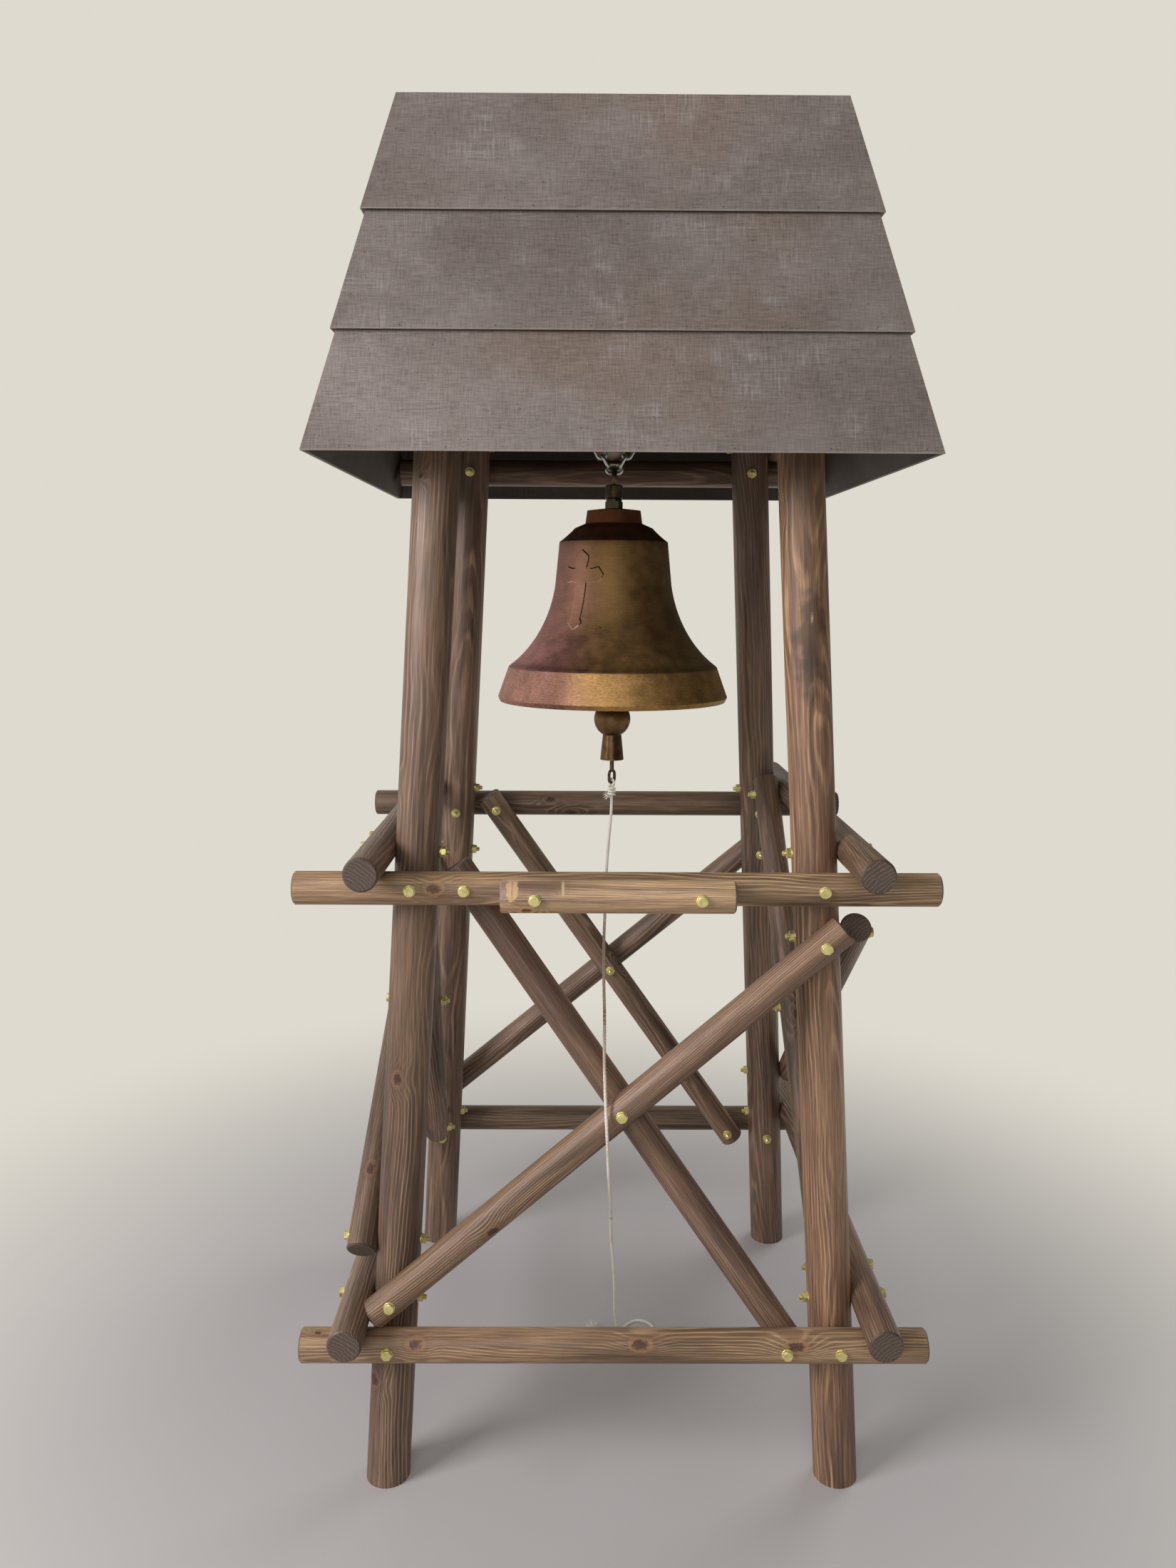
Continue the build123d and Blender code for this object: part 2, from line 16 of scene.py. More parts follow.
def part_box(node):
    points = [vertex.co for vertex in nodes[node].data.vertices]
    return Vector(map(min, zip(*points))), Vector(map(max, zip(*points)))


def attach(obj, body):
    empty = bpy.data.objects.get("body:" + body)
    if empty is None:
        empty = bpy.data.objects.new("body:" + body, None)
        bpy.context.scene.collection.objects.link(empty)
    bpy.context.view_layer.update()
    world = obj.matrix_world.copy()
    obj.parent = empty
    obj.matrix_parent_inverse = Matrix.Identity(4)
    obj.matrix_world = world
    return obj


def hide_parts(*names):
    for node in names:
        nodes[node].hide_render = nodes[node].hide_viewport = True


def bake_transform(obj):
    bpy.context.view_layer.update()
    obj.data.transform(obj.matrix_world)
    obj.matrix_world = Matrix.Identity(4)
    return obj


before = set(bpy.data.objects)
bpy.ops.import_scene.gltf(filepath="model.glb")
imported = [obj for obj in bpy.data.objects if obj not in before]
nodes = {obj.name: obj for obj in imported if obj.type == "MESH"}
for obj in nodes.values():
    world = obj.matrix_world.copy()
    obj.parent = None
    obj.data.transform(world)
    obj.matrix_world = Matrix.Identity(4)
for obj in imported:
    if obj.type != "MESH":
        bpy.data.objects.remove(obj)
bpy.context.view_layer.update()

MM = 0.001
SIDES = ("front", "right", "rear", "left")
SIDE_TURN = {"front": 0, "right": 90, "rear": 180, "left": 270}  # degrees about Z
COURSES = ("lower", "middle", "upper")
LEGS = {"front": ("front_left", "front_right"), "right": ("front_right", "rear_right"),
        "rear": ("rear_right", "rear_left"), "left": ("rear_left", "front_left")}


def shade(red, green, blue):
    """A display colour, 0 to 255, as the linear colour that a socket takes."""
    parts = [value / 255 for value in (red, green, blue)]
    linear = [value / 12.92 if value <= 0.04045 else ((value + 0.055) / 1.055) ** 2.4
              for value in parts]
    return (*linear, 1.0)


# Node helpers
NOISE_RANGE = (0.3, 0.7)  # where nearly all values of a noise lie


class Tree:
    """The nodes of a material or group. An input is a number, a tuple or another node's output."""

    def __init__(self, tree):
        self.tree = tree

    def add(self, kind, inputs=None, **settings):
        node = self.tree.nodes.new(kind)
        for name, value in settings.items():
            setattr(node, name, value)
        for key, value in (inputs or {}).items():
            self.feed(node.inputs[key], value)
        return node

    def feed(self, socket, value):
        """Give an input its number or tuple, or link it to an output."""
        if isinstance(value, bpy.types.NodeSocket):
            self.tree.links.new(value, socket)
        else:
            socket.default_value = value

    def math(self, operation, a, b=0.0):
        return self.add("ShaderNodeMath", {0: a, 1: b}, operation=operation).outputs[0]

    def plus(self, a, b):
        return self.math("ADD", a, b)

    def minus(self, a, b):
        return self.math("SUBTRACT", a, b)

    def times(self, a, b):
        return self.math("MULTIPLY", a, b)

    def vector(self, operation, a, b=(0.0, 0.0, 0.0)):
        return self.add("ShaderNodeVectorMath", {0: a, 1: b}, operation=operation).outputs[0]

    def length(self, a):
        return self.add("ShaderNodeVectorMath", {0: a}, operation="LENGTH").outputs["Value"]

    def distance(self, a, b, stretch=(1.0, 1.0, 1.0)):
        """How far a is from b, with each axis multiplied by its own factor."""
        return self.length(self.vector("MULTIPLY", self.vector("SUBTRACT", a, b), stretch))

    def split(self, a):
        return self.add("ShaderNodeSeparateXYZ", {0: a}).outputs

    def join(self, x, y, z):
        return self.add("ShaderNodeCombineXYZ", {0: x, 1: y, 2: z}).outputs[0]

    def noise(self, place, scale=1.0, detail=2.0, roughness=0.5, output="Fac"):
        inputs = {"Vector": place, "Scale": scale, "Detail": detail, "Roughness": roughness}
        return self.add("ShaderNodeTexNoise", inputs).outputs[output]

    def streaks(self, place, stretch, detail=2.0, roughness=0.5):
        """Noise with its own number of features per metre along each axis."""
        return self.noise(self.vector("MULTIPLY", place, stretch), 1.0, detail, roughness)

    def rescale(self, value, low, high, to_low=0.0, to_high=1.0):
        """A value's smooth step from one range to another, held at both ends."""
        inputs = {"Value": value, "From Min": low, "From Max": high,
                  "To Min": to_low, "To Max": to_high}
        node = self.add("ShaderNodeMapRange", inputs, interpolation_type="SMOOTHSTEP")
        return node.outputs["Result"]

    def spread(self, value, to_low, to_high):
        """A noise's usual values as a range of one's own."""
        return self.rescale(value, *NOISE_RANGE, to_low, to_high)

    def mix(self, amount, a, b, blend="MIX"):
        """Colour a turned to colour b by an amount; 6, 7 and 2 are the node's colour sockets."""
        node = self.add("ShaderNodeMix", {0: amount}, data_type="RGBA", blend_type=blend)
        self.feed(node.inputs[6], a)
        self.feed(node.inputs[7], b)
        return node.outputs[2]

    def tint(self, colour, amount, strength, other):
        """A colour turned to another one by an amount times a strength."""
        return self.mix(self.times(amount, strength), colour, other)

    def ramp(self, amount, stops, ease="LINEAR"):
        node = self.add("ShaderNodeValToRGB", {0: amount})
        node.color_ramp.interpolation = ease
        points = node.color_ramp.elements
        while len(points) < len(stops):
            points.new(0.5)
        for point, (position, colour) in zip(points, stops):
            point.position = position
            point.color = colour if isinstance(colour, tuple) else (colour, colour, colour, 1.0)
        return node.outputs[0]

    def shaded(self, colour, value):
        """A colour multiplied by a number."""
        grey = self.add("ShaderNodeCombineColor", {0: value, 1: value, 2: value}).outputs[0]
        return self.mix(1.0, colour, grey, "MULTIPLY")

    def place(self):
        """The place in the tower's frame, in metres."""
        return self.add("ShaderNodeTexCoord").outputs["Object"]


def fresh_tree(owner):
    """The emptied node tree of a material or world."""
    owner.use_nodes = True
    owner.node_tree.nodes.clear()
    return Tree(owner.node_tree)


def material(name, build, **shader_values):
    """A material. Its build function returns colour, roughness, height and bump distance."""
    made = bpy.data.materials.new(name)
    t = fresh_tree(made)
    colour, roughness, height, distance = build(t)
    bump = t.add("ShaderNodeBump", {"Strength": 1.0, "Distance": distance, "Height": height})
    shader = t.add("ShaderNodeBsdfPrincipled", {"Base Color": colour, "Roughness": roughness,
                                                "Normal": bump.outputs[0], **shader_values})
    t.add("ShaderNodeOutputMaterial", {0: shader.outputs[0]})
    return made


def group(name, inputs, outputs, build):
    """A node group: build takes a Tree and the group's inputs and returns its outputs in order."""
    made = bpy.data.node_groups.new(name, "ShaderNodeTree")
    for side, sockets in (("INPUT", inputs), ("OUTPUT", outputs)):
        for label, kind in sockets:
            made.interface.new_socket(label, in_out=side, socket_type="NodeSocket" + kind)
    t = Tree(made)
    results = build(t, t.add("NodeGroupInput").outputs)
    t.add("NodeGroupOutput", dict(enumerate(results)))
    return made


# Stained pine logs
RING_SPACING = 0.0031
PITH_WANDER = 0.07  # how far the pith strays for a change of one in the noise
PITH_BIAS = (0.3, 0.36, 0.5)  # taken off that noise, so the pith keeps to one side
KNOT_CELLS = 4.6  # cells per metre round the log
KNOT_STRETCH = 0.72  # cells along the log for one round it
KNOT_LIMIT = 0.66  # a cell has a knot where its random number is above this
KNOT_RADIUS = 0.0085
KNOT_RINGS = 3400.0  # radians per metre of the rings in a knot
RAGGED = 0.0016  # how far a knot's edge strays
SWIRL_RADIUS = 0.042
SWIRL_DEPTH = 0.008  # how far rings bend round a knot
LOG_ROUND = 0.038  # radius that turns the angle round a log into metres
OWN_KNOT_SIZE = 1.35  # how much larger a log's own knot is than the common ones
END_PITH = (0.045, -0.06, 0.0)  # sawn ends show rings about a pith outside the log
END_RING_SPACING = 0.0062
LOG_BUMP = 0.0011


def log_wood(t, given):
    """Turned pine: Z runs along the log and X points away from the tower."""
    place, normal, seed = given["Place"], given["Normal"], given["Seed"]
    shift = t.join(t.times(seed, 1.37), t.times(seed, 2.11), t.times(seed, 7.3))
    moved = t.vector("ADD", place, shift)
    x, y, z = t.split(place)

    pith = t.noise(t.vector("MULTIPLY", moved, (0.0, 0.0, 0.9)), output="Color")
    strayed = t.vector("SUBTRACT", pith, PITH_BIAS)
    stray = t.vector("MULTIPLY", strayed, (PITH_WANDER, PITH_WANDER, 0.0))
    radius = t.distance(t.join(x, y, 0.0), stray)

    round_log = t.times(t.math("ARCTAN2", y, x), LOG_ROUND)
    cell_place = t.join(t.plus(round_log, t.times(seed, 1.7)),
                        t.plus(t.times(z, KNOT_STRETCH), t.times(seed, 3.1)), 0.0)
    cells = t.add("ShaderNodeTexVoronoi", {"Vector": cell_place, "Scale": KNOT_CELLS},
                  voronoi_dimensions="2D")
    knot_way = t.math("DIVIDE", cells.outputs["Distance"], KNOT_CELLS)
    pick = t.split(cells.outputs["Color"])
    has_knot = t.math("GREATER_THAN", pick[0], KNOT_LIMIT)
    size = t.rescale(pick[1], 0.0, 1.0, 0.55, 1.25)
    knot_way = t.math("DIVIDE", knot_way, size)
    knot_way = t.plus(knot_way, t.minus(1.0, has_knot))
    own_way = t.distance(t.join(round_log, z, 0.0), given["Knot"])
    knot_way = t.math("MINIMUM", knot_way, t.math("DIVIDE", own_way, OWN_KNOT_SIZE))
    ragged = t.plus(knot_way, t.spread(t.noise(moved, 160.0), -RAGGED, RAGGED))
    knot = t.rescale(ragged, KNOT_RADIUS, KNOT_RADIUS * 0.6)
    halo = t.rescale(ragged, KNOT_RADIUS * 2.6, KNOT_RADIUS)
    swirl = t.rescale(knot_way, SWIRL_RADIUS, 0.0)

    wave = t.rescale(t.streaks(moved, (9, 9, 2.6)), 0.25, 0.75, 0.0, 0.0055)
    ripple = t.rescale(t.streaks(moved, (60, 60, 9)), 0.25, 0.75, 0.0, 0.0008)
    depth = t.plus(t.plus(radius, t.plus(wave, ripple)), t.times(swirl, SWIRL_DEPTH))
    ring = t.math("FRACT", t.math("DIVIDE", depth, RING_SPACING))
    line = t.ramp(ring, [(0.0, 0.12), (0.42, 0.0), (0.72, 0.9), (0.84, 1.0), (0.93, 0.35),
                         (1.0, 0.12)], "EASE")
    crisp = t.rescale(t.streaks(moved, (30, 30, 2.2)), 0.4, 0.62, 0.15, 1.0)
    line = t.times(line, crisp)

    fibre = t.streaks(moved, (520, 520, 14), 3.0, 0.65)
    thread = t.rescale(t.streaks(moved, (210, 210, 3.6), 3.0, 0.6), 0.5, 0.68)
    blotch = t.streaks(moved, (12, 12, 2.2), 3.0)
    rosy = t.rescale(t.streaks(moved, (6, 6, 1.2)), 0.46, 0.64, 0.0, 0.45)
    streak = t.rescale(t.streaks(moved, (80, 80, 2.6), 3.0), 0.5, 0.66)
    gold = t.rescale(t.streaks(moved, (42, 42, 1.9), 3.0), 0.5, 0.66)
    colour = t.ramp(blotch, [(0.3, shade(66, 52, 42)), (0.5, shade(103, 85, 68)),
                             (0.7, shade(144, 121, 97))])
    colour = t.mix(rosy, colour, shade(122, 96, 84))
    for amount, strength, other in ((gold, 0.45, (146, 119, 86)), (streak, 0.5, (62, 48, 39)),
                                    (thread, 0.34, (176, 150, 120)), (line, 0.6, (194, 166, 134))):
        colour = t.tint(colour, amount, strength, shade(*other))
    colour = t.shaded(colour, t.rescale(fibre, 0.28, 0.72, 0.64, 1.32))
    colour = t.tint(colour, halo, 0.55, shade(88, 56, 40))
    knot_ring = t.math("SINE", t.times(ragged, KNOT_RINGS))
    rim = t.times(t.rescale(ragged, KNOT_RADIUS * 1.9, KNOT_RADIUS * 1.35),
                 t.rescale(ragged, KNOT_RADIUS * 0.9, KNOT_RADIUS * 1.15))
    colour = t.tint(colour, rim, 0.28, shade(178, 146, 108))
    knot_colour = t.mix(t.rescale(knot_ring, -1, 1), shade(48, 31, 23), shade(98, 66, 46))
    colour = t.mix(knot, colour, knot_colour)

    facing = t.math("ABSOLUTE", t.split(normal)[2])
    end = t.rescale(facing, 0.8, 0.95)
    edge = t.times(t.rescale(facing, 0.3, 0.6), t.minus(1.0, end))
    end_radius = t.distance(t.join(x, y, 0.0), END_PITH)
    end_depth = t.plus(end_radius, t.spread(t.noise(moved, 45.0), 0.0, 0.004))
    end_ring = t.math("FRACT", t.math("DIVIDE", end_depth, END_RING_SPACING))
    end_line = t.ramp(end_ring, [(0.0, 0.0), (0.7, 0.0), (0.86, 1.0), (1.0, 0.0)], "EASE")
    pores = t.spread(t.noise(moved, 900.0), 0.8, 1.15)
    end_colour = t.mix(t.times(end_line, 0.65), shade(98, 86, 76), shade(160, 146, 130))
    end_colour = t.shaded(end_colour, pores)
    colour = t.mix(end, colour, end_colour)
    colour = t.tint(colour, edge, 0.55, shade(52, 42, 36))
    colour = t.mix(1.0, colour, given["Tone"], "MULTIPLY")

    gloss = t.spread(blotch, 0.52, 0.4)
    roughness = t.plus(gloss, t.times(end, 0.3))
    relief = t.plus(t.times(fibre, 0.35), t.times(line, 0.4))
    relief = t.plus(relief, t.times(knot, -0.5))
    return colour, roughness, relief


def log_frame(name):
    """A log's axis, middle and radius. Nearly all of its faces look away from the axis."""
    mesh = nodes[name].data
    normals = np.empty(len(mesh.polygons) * 3)
    areas = np.empty(len(mesh.polygons))
    mesh.polygons.foreach_get("normal", normals)
    mesh.polygons.foreach_get("area", areas)
    normals = normals.reshape(-1, 3)
    spread = (normals * areas[:, None]).T @ normals
    across = np.linalg.eigh(spread)[1].T
    points = np.empty(len(mesh.vertices) * 3)
    mesh.vertices.foreach_get("co", points)
    reach = points.reshape(-1, 3) @ across.T
    middle = (reach.min(0) + reach.max(0)) / 2
    radius = float(reach[:, 1].max() - reach[:, 1].min()) / 2
    return Vector(across[0]), Vector(middle @ across), radius


def log_names():
    """Every node that is one round log, in a fixed order."""
    first_words = ("leg_", "lower_beam", "mid_beam", "top_beam", "outer_brace", "inner_brace")
    found = sorted(name for name in nodes if name.startswith(first_words))
    return found + ["hanger_log", "short_log"]


def log_turn(axis, centre):
    """The turn that brings a log's axis to Z and its side away from the tower to X."""
    outward = Vector((centre.x, centre.y, 0.0))
    if outward.length < 10 * MM:
        outward = Vector((0.0, 0.0, 1.0))
    outward = (outward - axis * outward.dot(axis)).normalized()
    return Matrix((outward, axis.cross(outward), axis))


def placed(t, turn, centre):
    """Place and normal in a piece's own frame, from the tower's frame."""
    coordinates = t.add("ShaderNodeTexCoord").outputs
    angles = turn.to_euler("XYZ")
    inputs = {"Vector": coordinates["Object"], "Location": -(turn @ centre), "Rotation": angles}
    place = t.add("ShaderNodeMapping", inputs, vector_type="POINT")
    inputs = {"Vector": coordinates["Normal"], "Rotation": angles}
    normal = t.add("ShaderNodeMapping", inputs, vector_type="VECTOR")
    return place.outputs[0], normal.outputs[0]


WOOD_INPUTS = [("Place", "Vector"), ("Normal", "Vector"), ("Seed", "Float"), ("Tone", "Color"),
               ("Knot", "Vector")]  # boards have no knots
WOOD_OUTPUTS = [("Color", "Color"), ("Roughness", "Float"), ("Height", "Float")]
NO_KNOT = (9.0, 9.0, 0.0)  # far off any log
log_group = group("log_wood", WOOD_INPUTS, WOOD_OUTPUTS, log_wood)


def wood_build(wood, turn, centre, seed, tone, bump, knot=NO_KNOT, marks=None):
    """The build function of a wood material for a piece with its own turn and centre."""
    def build(t):
        place, normal = placed(t, turn, centre)
        inputs = {"Place": place, "Normal": normal, "Seed": seed, "Tone": (*tone, 1.0),
                  "Knot": knot}
        made = t.add("ShaderNodeGroup", inputs, node_tree=wood)
        colour, roughness, height = made.outputs
        if marks:
            colour = marks(t, colour)
        return colour, roughness, height, bump
    return build


def dress(name, made):
    """Give a node its material."""
    mesh = nodes[name].data
    mesh.materials.clear()
    mesh.materials.append(made)


# Ovals on the short log: middle from its left end, height from its axis, half length and height
# The first oval is a painted shadow.
PAINTED_SHADOW_OVAL = (0.066, 0.022, 0.044, 0.013)
CUT_OVAL = (0.0205, 0.016, 0.0098, 0.0185)
CRACK_OVAL = (0.0205, 0.015, 0.0008, 0.015)
SCAR_OVAL = (0.105, 0.018, 0.0026, 0.0105)
SLIVERS = (((0.116, -0.008, 0.057, 0.0053), 0.45), ((0.009, -0.008, 0.01, 0.005), 0.55),
           ((0.244, -0.019, 0.026, 0.0014), 0.6))  # each with how strongly it shows
FRONT_DEPTH = 0.006  # from the log's axis to where the marks show in full


def short_log_marks(t, colour):
    """A cut patch, a branch scar, slivers of pale wood and a painted shadow on the front of the
    short log.
    """
    low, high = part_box("short_log")
    middle = (low + high) / 2
    place = t.place()
    x, y, z = t.split(place)
    along = t.minus(x, low.x)
    up = t.minus(z, middle.z)
    front = t.rescale(y, middle.y, middle.y - FRONT_DEPTH)
    rough = t.spread(t.noise(place, 130.0, 3.0), -0.3, 0.3)

    def oval(shape, edge=0.18):
        centre, height, half_length, half_height = shape
        across = t.math("DIVIDE", t.minus(along, centre), half_length)
        upward = t.math("DIVIDE", t.minus(up, height), half_height)
        reach = t.plus(t.length(t.join(across, upward, 0.0)), t.times(rough, 0.5))
        return t.times(front, t.rescale(reach, 1.0 + edge, 1.0 - edge))

    fine = t.rescale(t.streaks(place, (900, 900, 60)), 0.35, 0.65, 0.8, 1.15)
    # Painted shadow on the upper front.
    colour = t.tint(colour, oval(PAINTED_SHADOW_OVAL, 0.5), 0.5, shade(104, 82, 72))
    for sliver, strength in SLIVERS:
        colour = t.tint(colour, oval(sliver), strength, shade(196, 166, 130))
    ragged_end = t.times(t.rescale(t.plus(along, t.times(rough, 0.012)), 0.014, 0.01),
                        t.rescale(up, -0.006, 0.002))
    colour = t.tint(colour, ragged_end, 0.55, shade(168, 148, 142))
    cut = t.shaded(shade(222, 184, 140), fine)
    colour = t.mix(oval(CUT_OVAL, 0.08), colour, cut)
    colour = t.tint(colour, oval(CRACK_OVAL, 0.5), 0.6, shade(122, 84, 58))
    return t.tint(colour, oval(SCAR_OVAL, 0.3), 0.85, shade(214, 190, 154))


STAIN_PLACE = (0.33, -0.3685, 1.557)
STAIN_REACH = (0.04, 0.014)  # where it begins and where it is full
SCAR_PLACE = (0.3293, -0.3667, 1.5865)
SCAR_REACH = (0.0026, 0.0016)


def stain(t, colour):
    """Dark stain round an old branch place on the right of the front right leg."""
    place = t.place()
    away = t.distance(place, STAIN_PLACE, (1.0, 1.0, 0.3))
    cloudy = t.plus(away, t.spread(t.noise(place, 22.0, 3.0), -0.008, 0.008))
    colour = t.mix(t.rescale(cloudy, *STAIN_REACH, 0.0, 0.75), colour, shade(52, 42, 36))
    away = t.distance(place, SCAR_PLACE, (1.0, 1.0, 0.25))
    ragged = t.plus(away, t.spread(t.noise(place, 240.0), -0.0008, 0.0008))
    return t.mix(t.rescale(ragged, *SCAR_REACH, 0.0, 0.8), colour, shade(190, 160, 116))


# Factors for red, green and blue: the common tone, and the tones of logs that differ from it
COMMON_TONE = (0.86, 0.79, 0.8)
TONE_SPREAD = (0.94, 1.07)
# The rear beams' darker tones are painted shade. The front beams' and the short log's lighter
# tones are partly their own paler wood and partly painted light.
TONES_AND_PAINTED_LIGHT = {"short_log": (2.42, 2.42, 2.15), "mid_beam_front": (1.9, 1.84, 1.58),
         "lower_beam_front": (1.3, 1.22, 1.08), "leg_front_right": (1.4, 1.22, 1.08),
         "outer_brace_front": (1.04, 0.94, 0.9), "mid_beam_rear": (0.62, 0.6, 0.58),
         "lower_beam_rear": (0.75, 0.72, 0.7)}
MARKS = {"short_log": short_log_marks, "leg_front_right": stain}
OWN_KNOTS = {"mid_beam_front": (-0.312, -0.448, 1.1315),
             "lower_beam_front": (-0.352, -0.492, 0.315),
             "leg_front_left": (-0.438, -0.431, 0.203),
             "outer_brace_left": (-0.456, -0.315, 0.557),
             "outer_brace_front": (-0.214, -0.477, 0.521)}
WOOD_SEED = 11
SEED_SPREAD = (0, 9)  # each piece's own shift through the noise

frames = {}
draw = random.Random(WOOD_SEED)
for name in log_names():
    axis, centre, radius = frames[name] = log_frame(name)
    strength = draw.uniform(*TONE_SPREAD)
    tone = [strength * value for value in TONES_AND_PAINTED_LIGHT.get(name, COMMON_TONE)]
    turn = log_turn(axis, centre)
    knot = NO_KNOT
    if name in OWN_KNOTS:
        spot = turn @ (Vector(OWN_KNOTS[name]) - centre)
        knot = (atan2(spot.y, spot.x) * LOG_ROUND, spot.z, 0.0)
    seed = draw.uniform(*SEED_SPREAD)
    build = wood_build(log_group, turn, centre, seed, tone, LOG_BUMP, knot, MARKS.get(name))
    dress(name, material("wood_" + name, build))


# Roof boards
NAIL_SPACING = 0.15
NAIL_UP = 0.0065  # from the lower edge of a board
NAIL_REACH = (0.0018, 0.001)  # from its middle to its edge and to its dark core
BOARD_TONE = (0.92, 0.99)
BOARD_BUMP = 0.00035
ROUGH_BUMP = 0.0006


def roof_wood(t, given):
    """Thin stained boards with a woven cross hatch: X runs along the eave, Z up the board."""
    place, normal, seed = given["Place"], given["Normal"], given["Seed"]
    moved = t.vector("ADD", place, t.join(t.times(seed, 3.7), 0.0, t.times(seed, 5.3)))
    x, y, z = t.split(place)
    across = t.streaks(moved, (38, 38, 560), 3.0, 0.65)
    upright = t.streaks(moved, (500, 500, 34), 3.0, 0.65)
    long_grain = t.streaks(moved, (11, 11, 260), 3.0, 0.6)
    cloud = t.streaks(moved, (3.2, 3.2, 4.6), 3.0)
    warm = t.rescale(t.streaks(moved, (1.7, 1.7, 2.2)), 0.42, 0.62)
    warm = t.times(warm, t.rescale(t.math("ABSOLUTE", x), 0.42, 0.05, 0.15, 1.0))
    colour = t.ramp(cloud, [(0.3, shade(107, 96, 89)), (0.5, shade(122, 112, 105)),
                            (0.7, shade(140, 131, 125))])
    colour = t.tint(colour, warm, 0.6, shade(122, 101, 84))
    threads = t.plus(t.spread(across, -0.24, 0.24), t.spread(upright, -0.2, 0.2))
    threads = t.plus(threads, t.spread(long_grain, -0.1, 0.1))
    colour = t.shaded(colour, t.plus(threads, 1.0))
    pale = t.rescale(t.streaks(moved, (4.5, 4.5, 6.0), 4.0, 0.6), 0.46, 0.7)
    colour = t.tint(colour, pale, 0.26, shade(152, 144, 140))
    brushed = t.rescale(t.streaks(moved, (330, 330, 20)), 0.46, 0.68)
    swept = t.rescale(t.streaks(moved, (18, 18, 300)), 0.46, 0.68)
    patch = t.rescale(t.streaks(moved, (8, 8, 10), 4.0, 0.6), 0.46, 0.72)
    scuff = t.times(patch, t.plus(t.times(brushed, 0.5), t.times(swept, 0.4)))
    colour = t.tint(colour, scuff, 1.1, shade(168, 161, 158))
    specks = t.rescale(t.noise(moved, 260.0, 0.0), 0.76, 0.8)
    colour = t.tint(colour, specks, 0.6, shade(52, 44, 40))
    nail_x = t.minus(t.math("FLOORED_MODULO", t.split(moved)[0], NAIL_SPACING), NAIL_SPACING / 2)
    nail = t.length(t.join(nail_x, 0.0, t.minus(z, NAIL_UP)))
    colour = t.mix(t.rescale(nail, *NAIL_REACH, 0.0, 0.8), colour, shade(48, 42, 40))
    # Paler along each board's lower edge and on its downward faces.
    foot = t.rescale(t.split(normal)[2], -0.6, -0.9)
    low_edge = t.rescale(z, 0.004, 0.0, 0.0, 0.5)
    colour = t.mix(t.math("MAXIMUM", t.times(foot, 0.35), low_edge), colour, shade(168, 155, 145))
    # The boards' inner faces are darkened as painted shade under the roof.
    inside_painted_shade = t.rescale(y, 0.0005, 0.0025)
    colour = t.tint(colour, inside_painted_shade, 0.8, shade(46, 35, 31))
    colour = t.mix(1.0, colour, given["Tone"], "MULTIPLY")
    roughness = t.spread(cloud, 0.62, 0.5)
    relief = t.plus(t.times(across, 0.5), t.times(upright, 0.5))
    return colour, roughness, relief


roof_group = group("roof_wood", WOOD_INPUTS, WOOD_OUTPUTS, roof_wood)


def board_turn(name, side):
    """The turn that lays a roof board along X with its outer face at -Y, and its lower edge."""
    turn = Matrix.Rotation(-radians(SIDE_TURN[side]), 3, "Z")
    corners = [turn @ vertex.co for vertex in nodes[name].data.vertices]
    foot_z = min(corner.z for corner in corners)
    head_z = max(corner.z for corner in corners)
    foot_y = min(corner.y for corner in corners)
    head_y = min(corner.y for corner in corners if corner.z > head_z - MM)
    tilt = atan2(head_y - foot_y, head_z - foot_z)
    lay = Matrix.Rotation(tilt, 3, "X")
    return lay @ turn, turn.inverted() @ Vector((0.0, foot_y, foot_z))


for course in COURSES:
    for side in SIDES:
        name = f"roof_board_{course}_{side}"
        turn, centre = board_turn(name, side)
        tone = [draw.uniform(*BOARD_TONE)] * 3
        seed = draw.uniform(*SEED_SPREAD)
        build = wood_build(roof_group, turn, centre, seed, tone, BOARD_BUMP)
        dress(name, material("wood_" + name, build))


def dark_wood(t):
    """Rough stained softwood that stays in the dark of the roof; its darker colour is painted
    shade.
    """
    place = t.place()
    fibre = t.streaks(place, (45, 300, 300), 3.0)
    colour = t.ramp(fibre, [(0.3, shade(50, 38, 33)), (0.7, shade(86, 68, 58))])
    return colour, t.spread(fibre, 0.75, 0.6), fibre, ROUGH_BUMP


inner_wood = material("inner_wood", dark_wood)
for name in ("roof_lid", "hip_rafters"):
    dress(name, inner_wood)


# Metals
BELL_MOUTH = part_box("bell")[0].z
BELL_WAIST = 0.135  # radius where the pits are
PITS = ((-12, 0.150), (-25, 0.133), (-9, 0.125))  # degrees round, height above the mouth
PIT_REACH = (0.0024, 0.0014)  # from its middle to its edge and to its dark core
# Heights above the mouth, from where each part of the look begins to where it is full
FLARE = (0.15, 0.08)
LIP = (0.07, 0.064)
SHOULDER = (0.3, 0.325)
CAP = (0.343, 0.349)
GROOVE_FOOT = (0.0655, 0.0685)
GROOVE_HEAD = (0.082, 0.071)
BELL_BUMP = 0.0006
FITTING_BUMP = 0.0002


